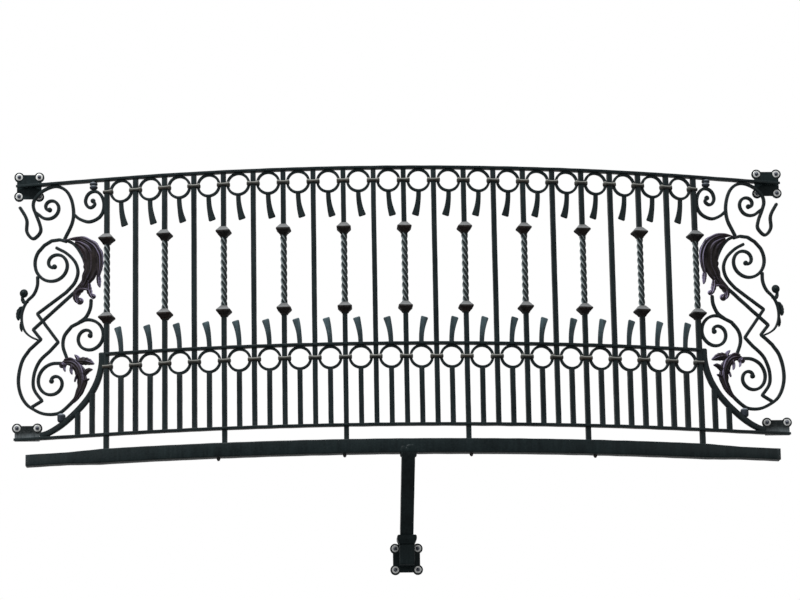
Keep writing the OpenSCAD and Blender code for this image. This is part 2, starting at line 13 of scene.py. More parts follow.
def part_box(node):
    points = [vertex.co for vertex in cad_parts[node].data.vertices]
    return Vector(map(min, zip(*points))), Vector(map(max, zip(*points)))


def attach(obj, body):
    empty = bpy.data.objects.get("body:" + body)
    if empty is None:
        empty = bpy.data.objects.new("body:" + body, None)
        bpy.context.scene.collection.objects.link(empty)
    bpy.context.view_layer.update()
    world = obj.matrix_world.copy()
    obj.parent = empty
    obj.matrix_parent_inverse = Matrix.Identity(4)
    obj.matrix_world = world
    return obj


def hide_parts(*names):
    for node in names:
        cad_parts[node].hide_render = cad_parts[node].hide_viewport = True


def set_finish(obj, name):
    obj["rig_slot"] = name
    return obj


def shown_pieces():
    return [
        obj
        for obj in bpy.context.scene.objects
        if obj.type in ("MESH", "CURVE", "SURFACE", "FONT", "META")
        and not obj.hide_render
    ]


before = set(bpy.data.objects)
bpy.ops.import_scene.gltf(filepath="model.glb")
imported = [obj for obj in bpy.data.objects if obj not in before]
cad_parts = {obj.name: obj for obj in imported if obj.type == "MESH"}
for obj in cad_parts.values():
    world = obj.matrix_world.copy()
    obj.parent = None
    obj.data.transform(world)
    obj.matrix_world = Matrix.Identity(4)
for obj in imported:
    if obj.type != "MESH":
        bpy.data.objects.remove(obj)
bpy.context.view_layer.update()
print("nodes in the frame:", len(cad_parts))

# %% [markdown]
# ## The sizes that all pieces share
# A smith lays the railing out on a floor drawing: an arc with even marks, and a straight side at each end.
# The same drawing is made here. The marks, radius and bar sizes are written once, and every height is
# read from the frame, so the iron stays seated if the frame is packed again.

# %% The floor drawing
STEPS = 40
PITCH = 0.058
RADIUS = 4.150
BAR = 0.019
SIDE_SPAN = 0.355

STEP_TURN = PITCH / RADIUS
HALF_TURN = STEPS / 2 * STEP_TURN
HALF_ARC = STEPS / 2 * PITCH
PANEL = SIDE_SPAN / np.cos(HALF_TURN)


def node_z(node):
    """Lowest and highest point of a node."""
    low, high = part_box(node)
    return low.z, high.z


BEAM_LOW, BEAM_TOP = node_z("sill_beam")
BOTTOM_LOW, BOTTOM_TOP = node_z("bottom_rail")
MID_TOP = node_z("mid_rail")[1]
TOP_LOW, TOP_TOP = node_z("top_rail")
PANEL_HIGH = TOP_LOW - BOTTOM_TOP
PLATE_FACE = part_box("top_plates")[0].y
POST_X = RADIUS * np.sin(HALF_TURN)
BOW_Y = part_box("main_posts")[0].y + RADIUS + BAR / 2
print("bow centre", round(float(BOW_Y), 4), "post", round(float(POST_X), 4))

# %% [markdown]
# ## Walking along the plan
# Seen from above, the railing is an arc that goes on as a straight line at both ends. A piece that follows
# it could be bent by a modifier, but a formula is exact: one function turns a distance walked along the
# plan into a point, the way ahead and the way out.

# %% Points along the plan
def plan(walk):
    """Point, way ahead and way out at a distance from the middle: an arc up to the end posts, then the
    tangent."""
    walk = np.asarray(walk, float)
    on_arc = np.clip(walk, -HALF_ARC, HALF_ARC)
    turn = on_arc / RADIUS
    flat = np.zeros_like(turn)
    ahead = np.stack([np.cos(turn), np.sin(turn), flat], -1)
    out = np.stack([np.sin(turn), -np.cos(turn), flat], -1)
    point = RADIUS * out + [0, BOW_Y, 0] + (walk - on_arc)[..., None] * ahead
    return point, ahead, out


def bowed(points):
    """Carries points given as walk, out and height onto the plan."""
    points = np.asarray(points, float)
    place, ahead, out = plan(points[..., 0])
    return place + points[..., 1:2] * out + points[..., 2:] * [0, 0, 1]


print("end of the side:", bowed([HALF_ARC + PANEL, 0, 0]).round(4))

# %% [markdown]
# ## Iron carried along a path
# Nearly all of this ironwork is bar: a section carried along a line. Curves with a bevel object could do
# it, but a grid of points lets the section swell, narrow and turn on its way, as iron does under the
# hammer. The grid is closed round the section, and a flat face closes each end.

# %% Sections, tubes and joined parts
def rounded(width, depth, radius, turns=3):
    """Outline of a rectangle with round corners: each corner's centre plus radius times cosine and sine
    over a quarter turn. Widths given as arrays make one outline for each."""
    width, depth, radius = np.broadcast_arrays(*(np.asarray(v, float) for v in (width, depth, radius)))
    angle = (np.arange(4)[:, None] * np.pi / 2 + np.linspace(0, np.pi / 2, turns + 1)).ravel()
    side = np.repeat([[1, 1], [-1, 1], [-1, -1], [1, -1]], turns + 1, 0)
    reach = np.stack([width / 2 - radius, depth / 2 - radius], -1)[..., None, :]
    return reach * side + radius[..., None, None] * np.stack([np.cos(angle), np.sin(angle)], -1)


def circles(radius, sides):
    """A round outline for each radius: radius times the cosine and sine of even angles."""
    angle = np.linspace(0, 2 * np.pi, sides + 1)[:-1]
    return np.asarray(radius)[..., None, None] * np.stack([np.cos(angle), np.sin(angle)], -1)


def tube_faces(rings, sides):
    """Quads between neighbour rings, each side joined to the next one round, and one face on each end."""
    ring, side = np.meshgrid(np.arange(rings - 1), np.arange(sides), indexing="ij")
    after = (side + 1) % sides
    quads = np.stack([ring * sides + side, ring * sides + after,
                      (ring + 1) * sides + after, (ring + 1) * sides + side], -1)
    return quads.reshape(-1, 4), [np.arange(sides)[::-1], (rings - 1) * sides + np.arange(sides)]


def tube(path, across, up, outline):
    """Carries an outline along a path: path point + outline x times across + outline y times up."""
    path = np.asarray(path, float)
    outline = np.broadcast_to(outline, (len(path),) + np.shape(outline)[-2:])
    across, up = (np.broadcast_to(way, path.shape)[:, None] for way in (across, up))
    grid = path[:, None] + outline[..., :1] * across + outline[..., 1:] * up
    return grid.reshape(-1, 3), tube_faces(*grid.shape[:2])


def joined(parts):
    """One part from several: points one after another, with the numbers in quads and end faces moved on."""
    starts = np.cumsum([0] + [len(points) for points, _ in parts])
    quads = np.concatenate([faces[0] + start for (_, faces), start in zip(parts, starts)])
    ends = [end + start for (_, faces), start in zip(parts, starts) for end in faces[1]]
    return np.concatenate([points for points, _ in parts]), (quads, ends)


def mapped(part, move):
    """The same faces on moved points."""
    return move(part[0]), part[1]


def on_steps(part, steps):
    """Copies of a part drawn round the origin, with x along the rails and y outward, on bar places."""
    copies = []
    for step in steps:
        point, ahead, out = plan((step - STEPS / 2) * PITCH)
        turn = np.stack([ahead, out, [0, 0, 1]])
        copies.append((part[0] @ turn + point, part[1]))
    return joined(copies)


def both_sides(part):
    """A part and its mirror image across the middle of the balcony."""
    return joined([part, mapped(part, lambda points: points * [-1, 1, 1])])


print("points in a bar's section:", len(rounded(BAR, BAR, 0.002)))

# %% [markdown]
# ## From arrays to objects
# Hand work leaves no face quite flat. A sum of slow waves in seeded directions moves each point by a few
# tenths of a millimetre. Then the arrays become a mesh, its faces are turned outward, and it takes the
# place of the plain solid in the frame.

# %% Make a piece
WAVES = 14
LONG_WAVE, SHORT_WAVE = 35.0, 110.0
rng = np.random.default_rng(7)
WAVE_WAYS = rng.normal(size=(3, WAVES)) * np.repeat([LONG_WAVE, SHORT_WAVE], WAVES // 2)
WAVE_PUSH = rng.normal(size=(WAVES, 3)) / WAVES ** 0.5
WAVE_START = rng.uniform(0, 2 * np.pi, WAVES)


def hand_worked(points, amount):
    """Adds amount times a sum of sine waves along seeded ways to each point."""
    return points + amount * np.sin(points @ WAVE_WAYS + WAVE_START) @ WAVE_PUSH


def placed(name, mesh, nodes, slot, crease=40):
    """Smooths a mesh up to the crease angle and makes it a piece that rides on the frame's root, stands for
    its nodes and takes its slot."""
    mesh.shade_smooth()
    mesh.set_sharp_from_angle(angle=np.radians(crease))
    piece = bpy.data.objects.new(name, mesh)
    bpy.context.scene.collection.objects.link(piece)
    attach(piece, "root")
    if nodes:
        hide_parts(*nodes)
    if slot:
        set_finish(piece, slot)
    return piece


def make_piece(name, part, nodes=(), slot="painted_iron", uneven=0.0003, crease=40):
    """Turns points and faces into a piece, a little uneven, with all faces outward."""
    points, (quads, ends) = part
    faces = quads.tolist() + [end.tolist() for end in ends]
    mesh = bpy.data.meshes.new(name)
    mesh.from_pydata(hand_worked(points, uneven).tolist(), [], faces)
    work = bmesh.new()
    work.from_mesh(mesh)
    bmesh.ops.recalc_face_normals(work, faces=work.faces)
    work.to_mesh(mesh)
    work.free()
    placed(name, mesh, nodes, slot, crease)
    print(f"{name}: {len(points)} points, {len(faces)} faces")


print("slow waves:", WAVES)

# %% [markdown]
# ## Upright bars
# The uprights are square bars. The posts at every eighth mark stand on the beam, and the other bars stand
# on the bottom rail. A bevelled cube would do for one bar, but a section carried up a line of points gives
# every bar the soft corners and slight waver of hot-rolled iron.

# %% Bars
CORNER = 0.0018
MAIN = range(0, STEPS + 1, 8)
BAY = range(4, STEPS, 8)
KNUCKLED = range(0, STEPS + 1, 4)
PLAIN = range(2, STEPS, 4)
RINGED = range(1, STEPS, 2)
FULL = range(0, STEPS + 1, 2)


def upright(low, high, spacing=0.02):
    """A square section with round corners at even heights."""
    height = np.linspace(low, high, max(3, int((high - low) / spacing)))
    return tube(height[:, None] * [0, 0, 1], [1, 0, 0], [0, 1, 0], rounded(BAR, BAR, CORNER))


# name, node, places, and how far each end is pushed into what it meets
BAR_ROWS = [("posts", "main_posts", MAIN, 0.006),
            ("bay_bars_square", "bay_bars", BAY, 0.006),
            ("plain_bars_square", "plain_bars", PLAIN, 0.001),
            ("head_bars", "upper_bar_lengths", KNUCKLED, 0.005),
            ("ring_stubs", "short_bars", RINGED, 0.001)]
for name, node, steps, push in BAR_ROWS:
    low, high = node_z(node)
    make_piece(name, on_steps(upright(low - push, high + push), steps), [node])

# %% [markdown]
# ## Twisted lengths
# A smith heats a length of square bar and turns one end while the other is held, and the four corners wind
# up it like a screw. A Simple Deform modifier twists too. Turning the section in the formula puts a ring
# of points every two millimetres, so the corners stay round and clean.

# %% Twists
QUARTERS = 10
TWIST_SPACING = 0.002
TWIST_CORNER = 0.8 * CORNER


def twisted(low, high):
    """The square section turned evenly, clockwise seen from above: angle = quarters times a quarter turn
    times the share of the height."""
    share = np.linspace(0, 1, int((high - low) / TWIST_SPACING))
    angle = QUARTERS * np.pi / 2 * share
    path = (low + (high - low) * share)[:, None] * [0, 0, 1]
    flat = np.zeros_like(angle)
    across = np.stack([np.cos(angle), np.sin(angle), flat], -1)
    up = np.stack([-np.sin(angle), np.cos(angle), flat], -1)
    return tube(path, across, up, rounded(BAR, BAR, TWIST_CORNER))


make_piece("twists", on_steps(twisted(*node_z("twisted_lengths")), KNUCKLED), ["twisted_lengths"],
           uneven=0.0001)

# %% [markdown]
# ## Knuckles
# A knuckle is a heavy collar of square section: a cone that widens slowly at first and ends in a thin rim,
# and an almost straight cap above it. It could be turned on a lathe with Screw, but then it would be
# round. Here the half width is a curve of the height, and the section stays a square whose corners are
# only a little worn.

# %% Knuckle form
KNUCKLE_W = 0.0545
KNUCKLE_SHIFT = {"lower": 0.005, "upper": -0.0025}
KNUCKLE_RIM = 0.005
KNUCKLE_CAP = 0.017
KNUCKLE_END = BAR / 2 + 0.003
KNUCKLE_CORNER = 0.0020
WAIST_RISE = 0.3
WAIST_REACH = 0.2
CAP_FULLNESS = -0.03


def eased(at, heights, values, blur=0.0012):
    """Linear values between stations, averaged over a small span so that the form has no hard steps."""
    offsets = np.linspace(-1, 1, 9) * blur
    return np.mean([np.interp(at + shift, heights, values) for shift in offsets], 0)


def knuckle(low, high):
    """A square section whose half width grows up to the rim, a little slowly up to the waist. Above it, the
    half width is that of the end plus the reach times one minus the share plus a sine that shapes the
    cap."""
    rim_top = high - KNUCKLE_CAP
    reach = KNUCKLE_W / 2 - KNUCKLE_END
    share = np.linspace(0, 1, 9)
    waist = low + WAIST_RISE * (rim_top - KNUCKLE_RIM - low)
    heights = np.concatenate([[low, waist, rim_top - KNUCKLE_RIM], rim_top + KNUCKLE_CAP * share])
    cap = KNUCKLE_END + reach * (1 - share + CAP_FULLNESS * np.sin(np.pi * share))
    halves = np.concatenate([[KNUCKLE_END, KNUCKLE_END + WAIST_REACH * reach, KNUCKLE_W / 2], cap])
    height = np.linspace(low, high, 52)
    half = eased(height, heights, halves, 0.0006)
    return tube(height[:, None] * [0, 0, 1], [1, 0, 0], [0, 1, 0],
                rounded(2 * half, 2 * half, KNUCKLE_CORNER))


for row in ("lower", "upper"):
    low, high = node_z(f"{row}_knuckles")
    part = on_steps(knuckle(low + KNUCKLE_SHIFT[row], high + KNUCKLE_SHIFT[row]), KNUCKLED)
    make_piece(f"{row}_knuckle_row", part, [f"{row}_knuckles"], "rusty_iron", uneven=0.0005)

# %% [markdown]
# ## Rings and collars
# Under the top and the mid rail hangs a row of rings, one between each pair of bars, and collars bind
# each bar to its two rings. A torus has a round section, while these are flat bar bent on edge, so a
# rounded rectangle goes round a circle. A collar is a band with a swelling at each end where it wraps a
# ring.

# %% Rings
RING_R = 0.0465
RING_BAR = 0.010
RING_DEPTH = 0.014
RING_CORNER = 0.0022


def ring(height):
    """A rounded section round a circle: centre + radius times cosine and sine of the angle. The last
    section is joined to the first."""
    angle = np.linspace(0, 2 * np.pi, 73)[:-1]
    flat = np.zeros_like(angle)
    spoke = np.stack([np.cos(angle), flat, np.sin(angle)], -1)
    path = (RING_R - RING_BAR / 2) * spoke + [0, 0, height]
    section = rounded(RING_BAR, RING_DEPTH, RING_CORNER)
    points, (quads, (first, last)) = tube(path, spoke, [0, 1, 0], section)
    first = first[::-1]
    seam = np.stack([last, np.roll(last, -1), np.roll(first, -1), first], -1)
    return points, (np.concatenate([quads, seam]), [])


def ring_height(node):
    """Middle of a row of rings: the lowest point plus the radius."""
    return node_z(node)[0] + RING_R


print("rings stand at", round(ring_height("lower_rings"), 4), "and", round(ring_height("upper_rings"), 4))

# %% Collars
COLLAR_REACH = 0.025
COLLAR_STUB = 0.0135
COLLAR_ROUND = 0.3
COLLAR_AT = np.array([-25, -24, -21.5, -18.5, -14, 0, 14, 18.5, 21.5, 24, 25]) / 1000
COLLAR_TALL = np.array([9, 15, 20, 19, 13, 11, 13, 19, 20, 15, 9]) / 1000
COLLAR_DEEP = np.array([12, 19, 25, 27, 27, 27, 27, 27, 25, 19, 12]) / 1000


def collar(height, left=COLLAR_REACH, right=COLLAR_REACH):
    """A section carried across a bar: its height and depth are eased between stations, wider where it
    wraps a ring. On a side without a ring it stops just past the bar."""
    along = np.linspace(-left, right, 40)
    path = along[:, None] * [1, 0, 0] + [0, 0, height]
    tall = eased(along, COLLAR_AT, COLLAR_TALL)
    deep = eased(along, COLLAR_AT, COLLAR_DEEP)
    return tube(path, [0, 1, 0], [0, 0, 1], rounded(deep, tall, np.minimum(deep, tall) * COLLAR_ROUND))


for row in ("lower", "upper"):
    middle = ring_height(f"{row}_rings")
    make_piece(f"{row}_ring_row", on_steps(ring(middle), RINGED), [f"{row}_rings"])
    collars = joined([on_steps(collar(middle), FULL[1:-1]),
                      on_steps(collar(middle, left=COLLAR_STUB), [0]),
                      on_steps(collar(middle, right=COLLAR_STUB), [STEPS])])
    make_piece(f"{row}_collar_row", collars, [f"{row}_collars"], "rusty_iron", uneven=0.0005)

# %% [markdown]
# ## Tongues
# Between the bars, a forged tongue hangs from each upper ring, and another stands on the mid rail under
# it. Each starts narrow, grows wider and bends to one side: the hanging ones toward the middle, the
# standing ones away from it. Simple Deform would bend a bar, but not widen it as well. Here the section
# widens along a parabola on a bent line, and its last rings close in to round corners.

# %% Tongue form
TONGUE_ROOT = 0.018
TONGUE_FLARE = 0.029
TONGUE_BEND = 0.015
TONGUE_ROUND = 0.005
TONGUE_T = 0.009
TONGUE_CORNER = 0.0024
TONGUE_THINNED = 0.15
TONGUE_CLOSED = 0.55


def tongue(root, length, bend):
    """Middle line: sideways bend times share squared. Width: root plus the flare times share squared, less
    the corner radius times one minus the cosine of the angle turned round the corner."""
    angle = np.linspace(0, np.pi / 2, 8)[1:]
    corner = TONGUE_ROUND / abs(length)
    share = np.concatenate([np.linspace(0, 1 - corner, 26), 1 - corner * (1 - np.sin(angle))])
    turned_in = np.concatenate([np.zeros(26), 1 - np.cos(angle)])
    path = np.stack([bend * share ** 2, 0 * share, root + length * share], -1)
    across = np.stack([np.ones_like(share), 0 * share, -2 * bend * share / length], -1)
    across /= np.linalg.norm(across, axis=1, keepdims=True)
    width = TONGUE_ROOT + (TONGUE_FLARE - TONGUE_ROOT) * share ** 2 - 2 * TONGUE_ROUND * turned_in
    thick = TONGUE_T * (1 - TONGUE_THINNED * share) * (1 - TONGUE_CLOSED * turned_in)
    return tube(path, across, [0, 1, 0], rounded(width, thick, np.minimum(TONGUE_CORNER, thick * 0.45)))


def tongue_row(root, length, bend):
    """Tongues on every ring place, bent one way left of the middle and the other way right of it."""
    half = len(RINGED) // 2
    return joined([on_steps(tongue(root, length, bend), RINGED[:half]),
                   on_steps(tongue(root, length, -bend), RINGED[half:])])


# %% Tongues
HANG_LOW, HANG_HIGH = node_z("hanging_tongues")
STAND_LOW, STAND_HIGH = node_z("standing_tongues")
SEAT = 0.001
make_piece("hanging_tongue_row", tongue_row(HANG_HIGH, HANG_LOW - HANG_HIGH, TONGUE_BEND),
           ["hanging_tongues"])
make_piece("standing_tongue_row", tongue_row(STAND_LOW - SEAT, STAND_HIGH - STAND_LOW + SEAT, -TONGUE_BEND),
           ["standing_tongues"], "worn_iron")

# %% [markdown]
# ## Rails and beam
# The three rails are flat bar, bent along the plan. The heavier beam under them is a box section that is a
# little shallower at its ends. The rails' tips are dressed off flat where they meet their plates. An
# extruded curve would follow the plan as well, but here the same plan function that places the bars also
# draws the rails, so they can't part.

# %% Rails
RAIL_W = 0.030


def along_plan(reach, low, high, width, radius, spacing=0.012):
    """A rounded section carried along the plan between the two ends of its reach."""
    walk = np.linspace(-reach, reach, int(2 * reach / spacing))
    point, _, out = plan(walk)
    middle = point + [0, 0, (low + high) / 2]
    return tube(middle, out, [0, 0, 1], rounded(width, high - low, radius))


def dressed(part, face, tip=None):
    """Slides points that lie behind a face, or beyond a tip, back to it along the straight side."""
    points, faces = part
    side = np.where(points[:, 0] < 0, -1, 1)
    _, ahead, _ = plan(side * (HALF_ARC + PANEL))
    ahead = ahead * side[:, None]
    past = np.maximum(points[:, 1] - face, 0) / ahead[:, 1]
    if tip:
        past = np.maximum(past, (np.abs(points[:, 0]) - tip) / np.abs(ahead[:, 0]))
    return points - past[:, None] * ahead, faces


for row, reach in (("top", HALF_ARC + PANEL), ("bottom", HALF_ARC + PANEL), ("mid", HALF_ARC)):
    rail = along_plan(reach, *node_z(f"{row}_rail"), RAIL_W, CORNER)
    make_piece(f"{row}_rail_flat", dressed(rail, PLATE_FACE), [f"{row}_rail"])

# %% Beam
BEAM_W = 0.050
BEAM_INSET = 0.044
TUBE_CORNER = 0.004
PRESS_START = 0.02
PRESS_LENGTH = 0.13
PRESS_SHARE = 0.2


def pressed(points):
    """Beyond the last posts, heights close in on the beam's middle height: the distance from it is times
    one minus a share that grows evenly over the pressed length."""
    middle = (BEAM_LOW + BEAM_TOP) / 2
    past = np.clip((np.abs(points[:, 0]) - POST_X - PRESS_START) / PRESS_LENGTH, 0, 1)
    height = middle + (points[:, 2] - middle) * (1 - PRESS_SHARE * past)
    return np.stack([points[:, 0], points[:, 1], height], -1)


long_beam = along_plan(HALF_ARC + PANEL, BEAM_LOW, BEAM_TOP, BEAM_W, TUBE_CORNER)
long_beam = dressed(long_beam, 0.0, POST_X + SIDE_SPAN - BEAM_INSET)
make_piece("beam_box", mapped(long_beam, pressed), ["sill_beam"])

# %% [markdown]
# ## Strut and shoe
# One box-section strut leans out from its plate to the middle of the beam. It stands in a shoe: a block on
# the plate whose top flares out into a square collar. A loft between drawn sections would make it. Both
# are square sections whose size follows the height, so here one function stacks them. A heavy weld holds
# the strut's head.

# %% Strut
STRUT = 0.050
SHOE_W = 0.058
SHOE_REACH = 0.060
FLARE_W = 0.075
FLARE_H = 0.033
SHOE_LOW, STRUT_FOOT = node_z("strut_shoe")
PLATE_T = -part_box("strut_wall_plate")[0].y
FOOT_Y = -PLATE_T - FLARE_W / 2
BEAM_Y = BOW_Y - RADIUS


def stack(stations, sizes, centres, radius, steps=9):
    """A square section that is eased from one station's width, depth and middle to the next."""
    stations, sizes, centres = (np.asarray(v, float) for v in (stations, sizes, centres))
    height = np.unique(np.concatenate([np.linspace(a, b, steps) for a, b in zip(stations, stations[1:])]))
    width, depth = (eased(height, stations, sizes[:, k], 0.0015) for k in (0, 1))
    middle = eased(height, stations, centres, 0.0015)
    path = np.stack([0 * height, middle, height], -1)
    return tube(path, [1, 0, 0], [0, 1, 0], rounded(width, depth, radius))


flare_z = STRUT_FOOT - FLARE_H
block_y = -PLATE_T - SHOE_REACH / 2
block_at = [SHOE_LOW, SHOE_LOW + 0.003, flare_z - 0.001, flare_z + 0.003]
block_sizes = np.subtract([SHOE_W, SHOE_REACH], [[0.005, 0.003], [0, 0], [0, 0], [0.004, 0.004]])
block = stack(block_at, block_sizes, [block_y] * 4, 0.003)
flare_at = [flare_z, flare_z + FLARE_H / 2, STRUT_FOOT - FLARE_H / 9, STRUT_FOOT]
flare_sizes = np.repeat([[SHOE_W], [FLARE_W], [FLARE_W], [FLARE_W - 0.007]], 2, 1)
flare = stack(flare_at, flare_sizes, [FOOT_Y] * 4, 0.0035)
make_piece("shoe_block", joined([block, flare]), ["strut_shoe"], uneven=0.0004)

lean = np.array([0, BEAM_Y - FOOT_Y, BEAM_LOW - STRUT_FOOT])
share = np.linspace(-0.02, 1.0, 24)
line = np.array([0, FOOT_Y, STRUT_FOOT]) + share[:, None] * lean
section = rounded(STRUT, STRUT * np.linalg.norm(lean) / lean[2], TUBE_CORNER)
make_piece("strut_box", tube(line, [1, 0, 0], [0, 1, 0], section), ["centre_strut"])


# %% Head weld
def lump(centre, reach):
    """A ball stretched by a reach each way: rings of the polar angle's sine, at its cosine."""
    polar = np.linspace(0.05, np.pi - 0.05, 17)
    ball, faces = tube(np.cos(polar)[:, None] * [1, 0, 0], [0, 1, 0], [0, 0, 1], circles(np.sin(polar), 24))
    return ball * reach + centre, faces


# across and up from the beam's lower front edge, half width and half height
WELDS = [(-0.019, 0.012, 0.013, 0.017), (-0.004, 0.009, 0.015, 0.013),
         (0.016, 0.013, 0.015, 0.017), (0.004, 0.020, 0.016, 0.011)]
front = BEAM_Y - BEAM_W / 2
welds = [lump([x, front + 0.001, BEAM_LOW + z], [wide, 0.004, tall]) for x, z, wide, tall in WELDS]
welds += [lump([side * 0.026, front + 0.026, BEAM_LOW - 0.004], [0.006, 0.026, 0.010]) for side in (-1, 1)]
make_piece("strut_head_weld", joined(welds), uneven=0.0012)

# %% [markdown]
# ## Plates
# The plates are cut from flat bar with a round lobe at each bolt. Their outline is already exact in the
# frame, so a copy is taken, its loose triangles are merged, and a Bevel modifier breaks the sharp edges.
# The bottom plates end behind the rail, so what would hang below it is dressed off.

# %% Plate edges
PLATE_EDGE = 0.001
BOTTOM_CUT = BOTTOM_LOW + 0.001


def softened(name, node, lowest=-1.0):
    """A merged copy of a node with its sharp edges bevelled, standing for the node, and dressed off where
    it would reach lower than the lowest height."""
    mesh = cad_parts[node].data.copy()
    mesh.materials.clear()
    work = bmesh.new()
    work.from_mesh(mesh)
    bmesh.ops.remove_doubles(work, verts=work.verts, dist=0.00002)
    bmesh.ops.dissolve_limit(work, angle_limit=np.radians(1), verts=work.verts, edges=work.edges)
    bmesh.ops.bisect_plane(work, geom=work.verts[:] + work.edges[:] + work.faces[:], dist=0.00001,
                           plane_co=(0, 0, lowest), plane_no=(0, 0, 1), clear_inner=True)
    bmesh.ops.holes_fill(work, edges=[edge for edge in work.edges if edge.is_boundary])
    work.to_mesh(mesh)
    work.free()
    bevel = placed(name, mesh, [node], "painted_iron").modifiers.new("broken edges", "BEVEL")
    bevel.width = PLATE_EDGE
    bevel.segments = 2
    bevel.limit_method = "ANGLE"
    bevel.angle_limit = np.radians(35)
    print(f"{name}: {len(mesh.vertices)} points before its bevel")


softened("strut_plate_lobed", "strut_wall_plate")
softened("top_plates_lobed", "top_plates")
softened("bottom_plates_lobed", "bottom_plates", BOTTOM_CUT)

# %% [markdown]
# ## Scrolls
# The side panels are drawn with bar bent on the flat: a smooth line through marked points, or a spiral
# whose radius closes in. Marks are given in hundredths of the panel, across from the end post and up from
# the bottom rail. Bezier curves could be bent by hand, but a line through measured marks can be checked.

# %% Lines on the panel
SCROLL_W = 0.012
SCROLL_D = 0.014
TAIL_TIP = 0.007
SCROLL_CORNER = 0.0028
END_SIZE = 0.72
EYE_R = 0.00972
EYE_DEPTH = 0.0165


def on_panel(marks):
    """Marks in hundredths to metres across and up."""
    return np.asarray(marks, float) / 100 * [PANEL, PANEL_HIGH]


def smooth(marks, parts=8):
    """A line through marks: each span is a cubic blend of its four nearest marks."""
    p = on_panel(marks)
    p = np.concatenate([[2 * p[0] - p[1]], p, [2 * p[-1] - p[-2]]])
    t = np.linspace(0, 1, parts, endpoint=False)[None, :, None]
    a, b, c, d = (p[k:len(p) - 3 + k, None] for k in range(4))
    spans = 0.5 * (2 * b + (c - a) * t + (2 * a - 5 * b + 4 * c - d) * t ** 2
                   + (3 * b - a - 3 * c + d) * t ** 3)
    return np.concatenate([spans.reshape(-1, 2), p[-2:-1]])


def spiral(centre, start, end, first, last, ease=1.0, parts=72):
    """A turn from start to end, its radius easing from first to last, in hundredths of the height."""
    t = np.linspace(0, 1, parts + 1)
    angle = np.radians(start + (end - start) * t)
    radius = (last + (first - last) * (1 - t) ** ease) / 100 * PANEL_HIGH
    return on_panel(centre) + radius[:, None] * np.stack([np.cos(angle), np.sin(angle)], -1)


def even(line, spacing=0.004):
    """The same line with points at even distances along it."""
    step = np.linalg.norm(np.diff(line, axis=0), axis=1)
    gone = np.concatenate([[0], np.cumsum(step)])
    marks = np.linspace(0, gone[-1], max(4, int(gone[-1] / spacing)))
    return np.stack([np.interp(marks, gone, line[:, k]) for k in (0, 1)], -1)


def stood(flat, out=0.0):
    """Points given across and up, as across, out and up."""
    return np.stack([flat[:, 0], 0 * flat[:, 0] + out, flat[:, 1]], -1)


def to_panel(points):
    """Points given across, out and up, carried onto the right-hand side panel."""
    return bowed(points + [HALF_ARC, 0, BOTTOM_TOP])


def carried(line, outline, out=0.0):
    """An outline carried along a line on the panel. Its first way is to the line's left: the difference of
    the neighbours, made one long and turned by a quarter. Its second way is outward."""
    ahead = np.gradient(line, axis=0)
    ahead /= np.linalg.norm(ahead, axis=1, keepdims=True)
    left = np.stack([-ahead[:, 1], ahead[:, 0]], -1)
    return mapped(tube(stood(line, out), stood(left), [0, 1, 0], outline), to_panel)


def panel_bar(line, width=SCROLL_W, depth=SCROLL_D, close=True, tip=None):
    """A rounded section carried along a line on the panel, evenly narrower toward the tip where that has
    a width of its own. The first and last rings close in."""
    line = even(line)
    width = np.linspace(width, tip or width, len(line))
    size = np.ones(len(line))
    if close:
        size[[0, -1]] = END_SIZE
    return carried(line, rounded(width * size, depth * size, SCROLL_CORNER * size))


def eye(centre):
    """A solid round end: half width times the root of one minus height to the fourth power, so its rim is
    full and its faces are domed."""
    rise = np.linspace(-1, 1, 13)
    size = EYE_R * np.clip(1 - rise ** 4, 0.03, 1) ** 0.5
    path = stood(0 * rise[:, None] + centre, rise * EYE_DEPTH / 2)
    return mapped(tube(path, [1, 0, 0], [0, 0, 1], circles(size, 24)), to_panel)


print("panel:", round(float(PANEL), 4), "wide and", round(PANEL_HIGH, 4), "high")


# %% Scroll lines
crook_line = smooth([
    [47, 77.6], [38, 84.5], [37.5, 90.8], [43.5, 96.6], [55.5, 99.4], [70, 98.2], [79.5, 95.2],
    [81.8, 92.3], [78.8, 88.8], [74.7, 85], [73.5, 81.5], [81.5, 79], [88.6, 82], [89, 87], [97, 92.3]])
crook_eye_line = np.concatenate([on_panel([[80, 89.8]]), spiral([63, 91], -35, -440, 5, 0.9)])
post_scroll_line = smooth([
    [37.2, 87.8], [30, 85.5], [20, 84.1], [9.6, 85.3], [4.4, 87.8], [3.4, 91], [6, 94.1], [11.5, 96],
    [17.5, 96], [22, 94.6], [23.7, 92.2], [21, 90.2], [16.8, 89.8], [13.4, 91], [15.5, 92.4]])
snail_line = np.concatenate([on_panel([[44, 76.8], [52, 77.8], [61, 77.6], [69, 76]]),
                             spiral([57.6, 68], 40, -450, 8.6, 0.9)])
tail_line = smooth([
    [76.3, 63.8], [76.6, 60], [80.6, 56.6], [88, 54], [92.3, 50.8], [93.6, 47.6], [92.4, 44.4],
    [88.6, 41.6], [82.4, 39.7], [75, 38.4]])
inner_line = np.concatenate([
    smooth([[56.5, 74.8], [45, 72.3], [35.5, 68.7], [31.7, 64.5], [35.2, 60.2], [44.4, 56.6]]),
    on_panel([[76.3, 48.8], [53, 37]]),
    smooth([[62, 33.7], [72.5, 30.3], [78.5, 26], [80.3, 21.6], [78.2, 18.2], [70.3, 14.3]]),
    on_panel([[82, 12]])])
outer_line = np.concatenate([
    smooth([[46, 77.6], [37, 75.8], [29, 72], [23.2, 66.5], [25.5, 61], [35.2, 56.4]]),
    on_panel([[80.7, 42.6], [72, 38.6]]),
    smooth([[84.5, 34.8], [92.5, 30.5], [96.5, 24], [95, 18.6], [89, 14], [80, 11.2], [69, 9.2],
            [57.4, 8.7], [47.6, 9.8], [32.2, 15], [25.4, 19.8], [28.4, 24.3], [42.2, 30]])])
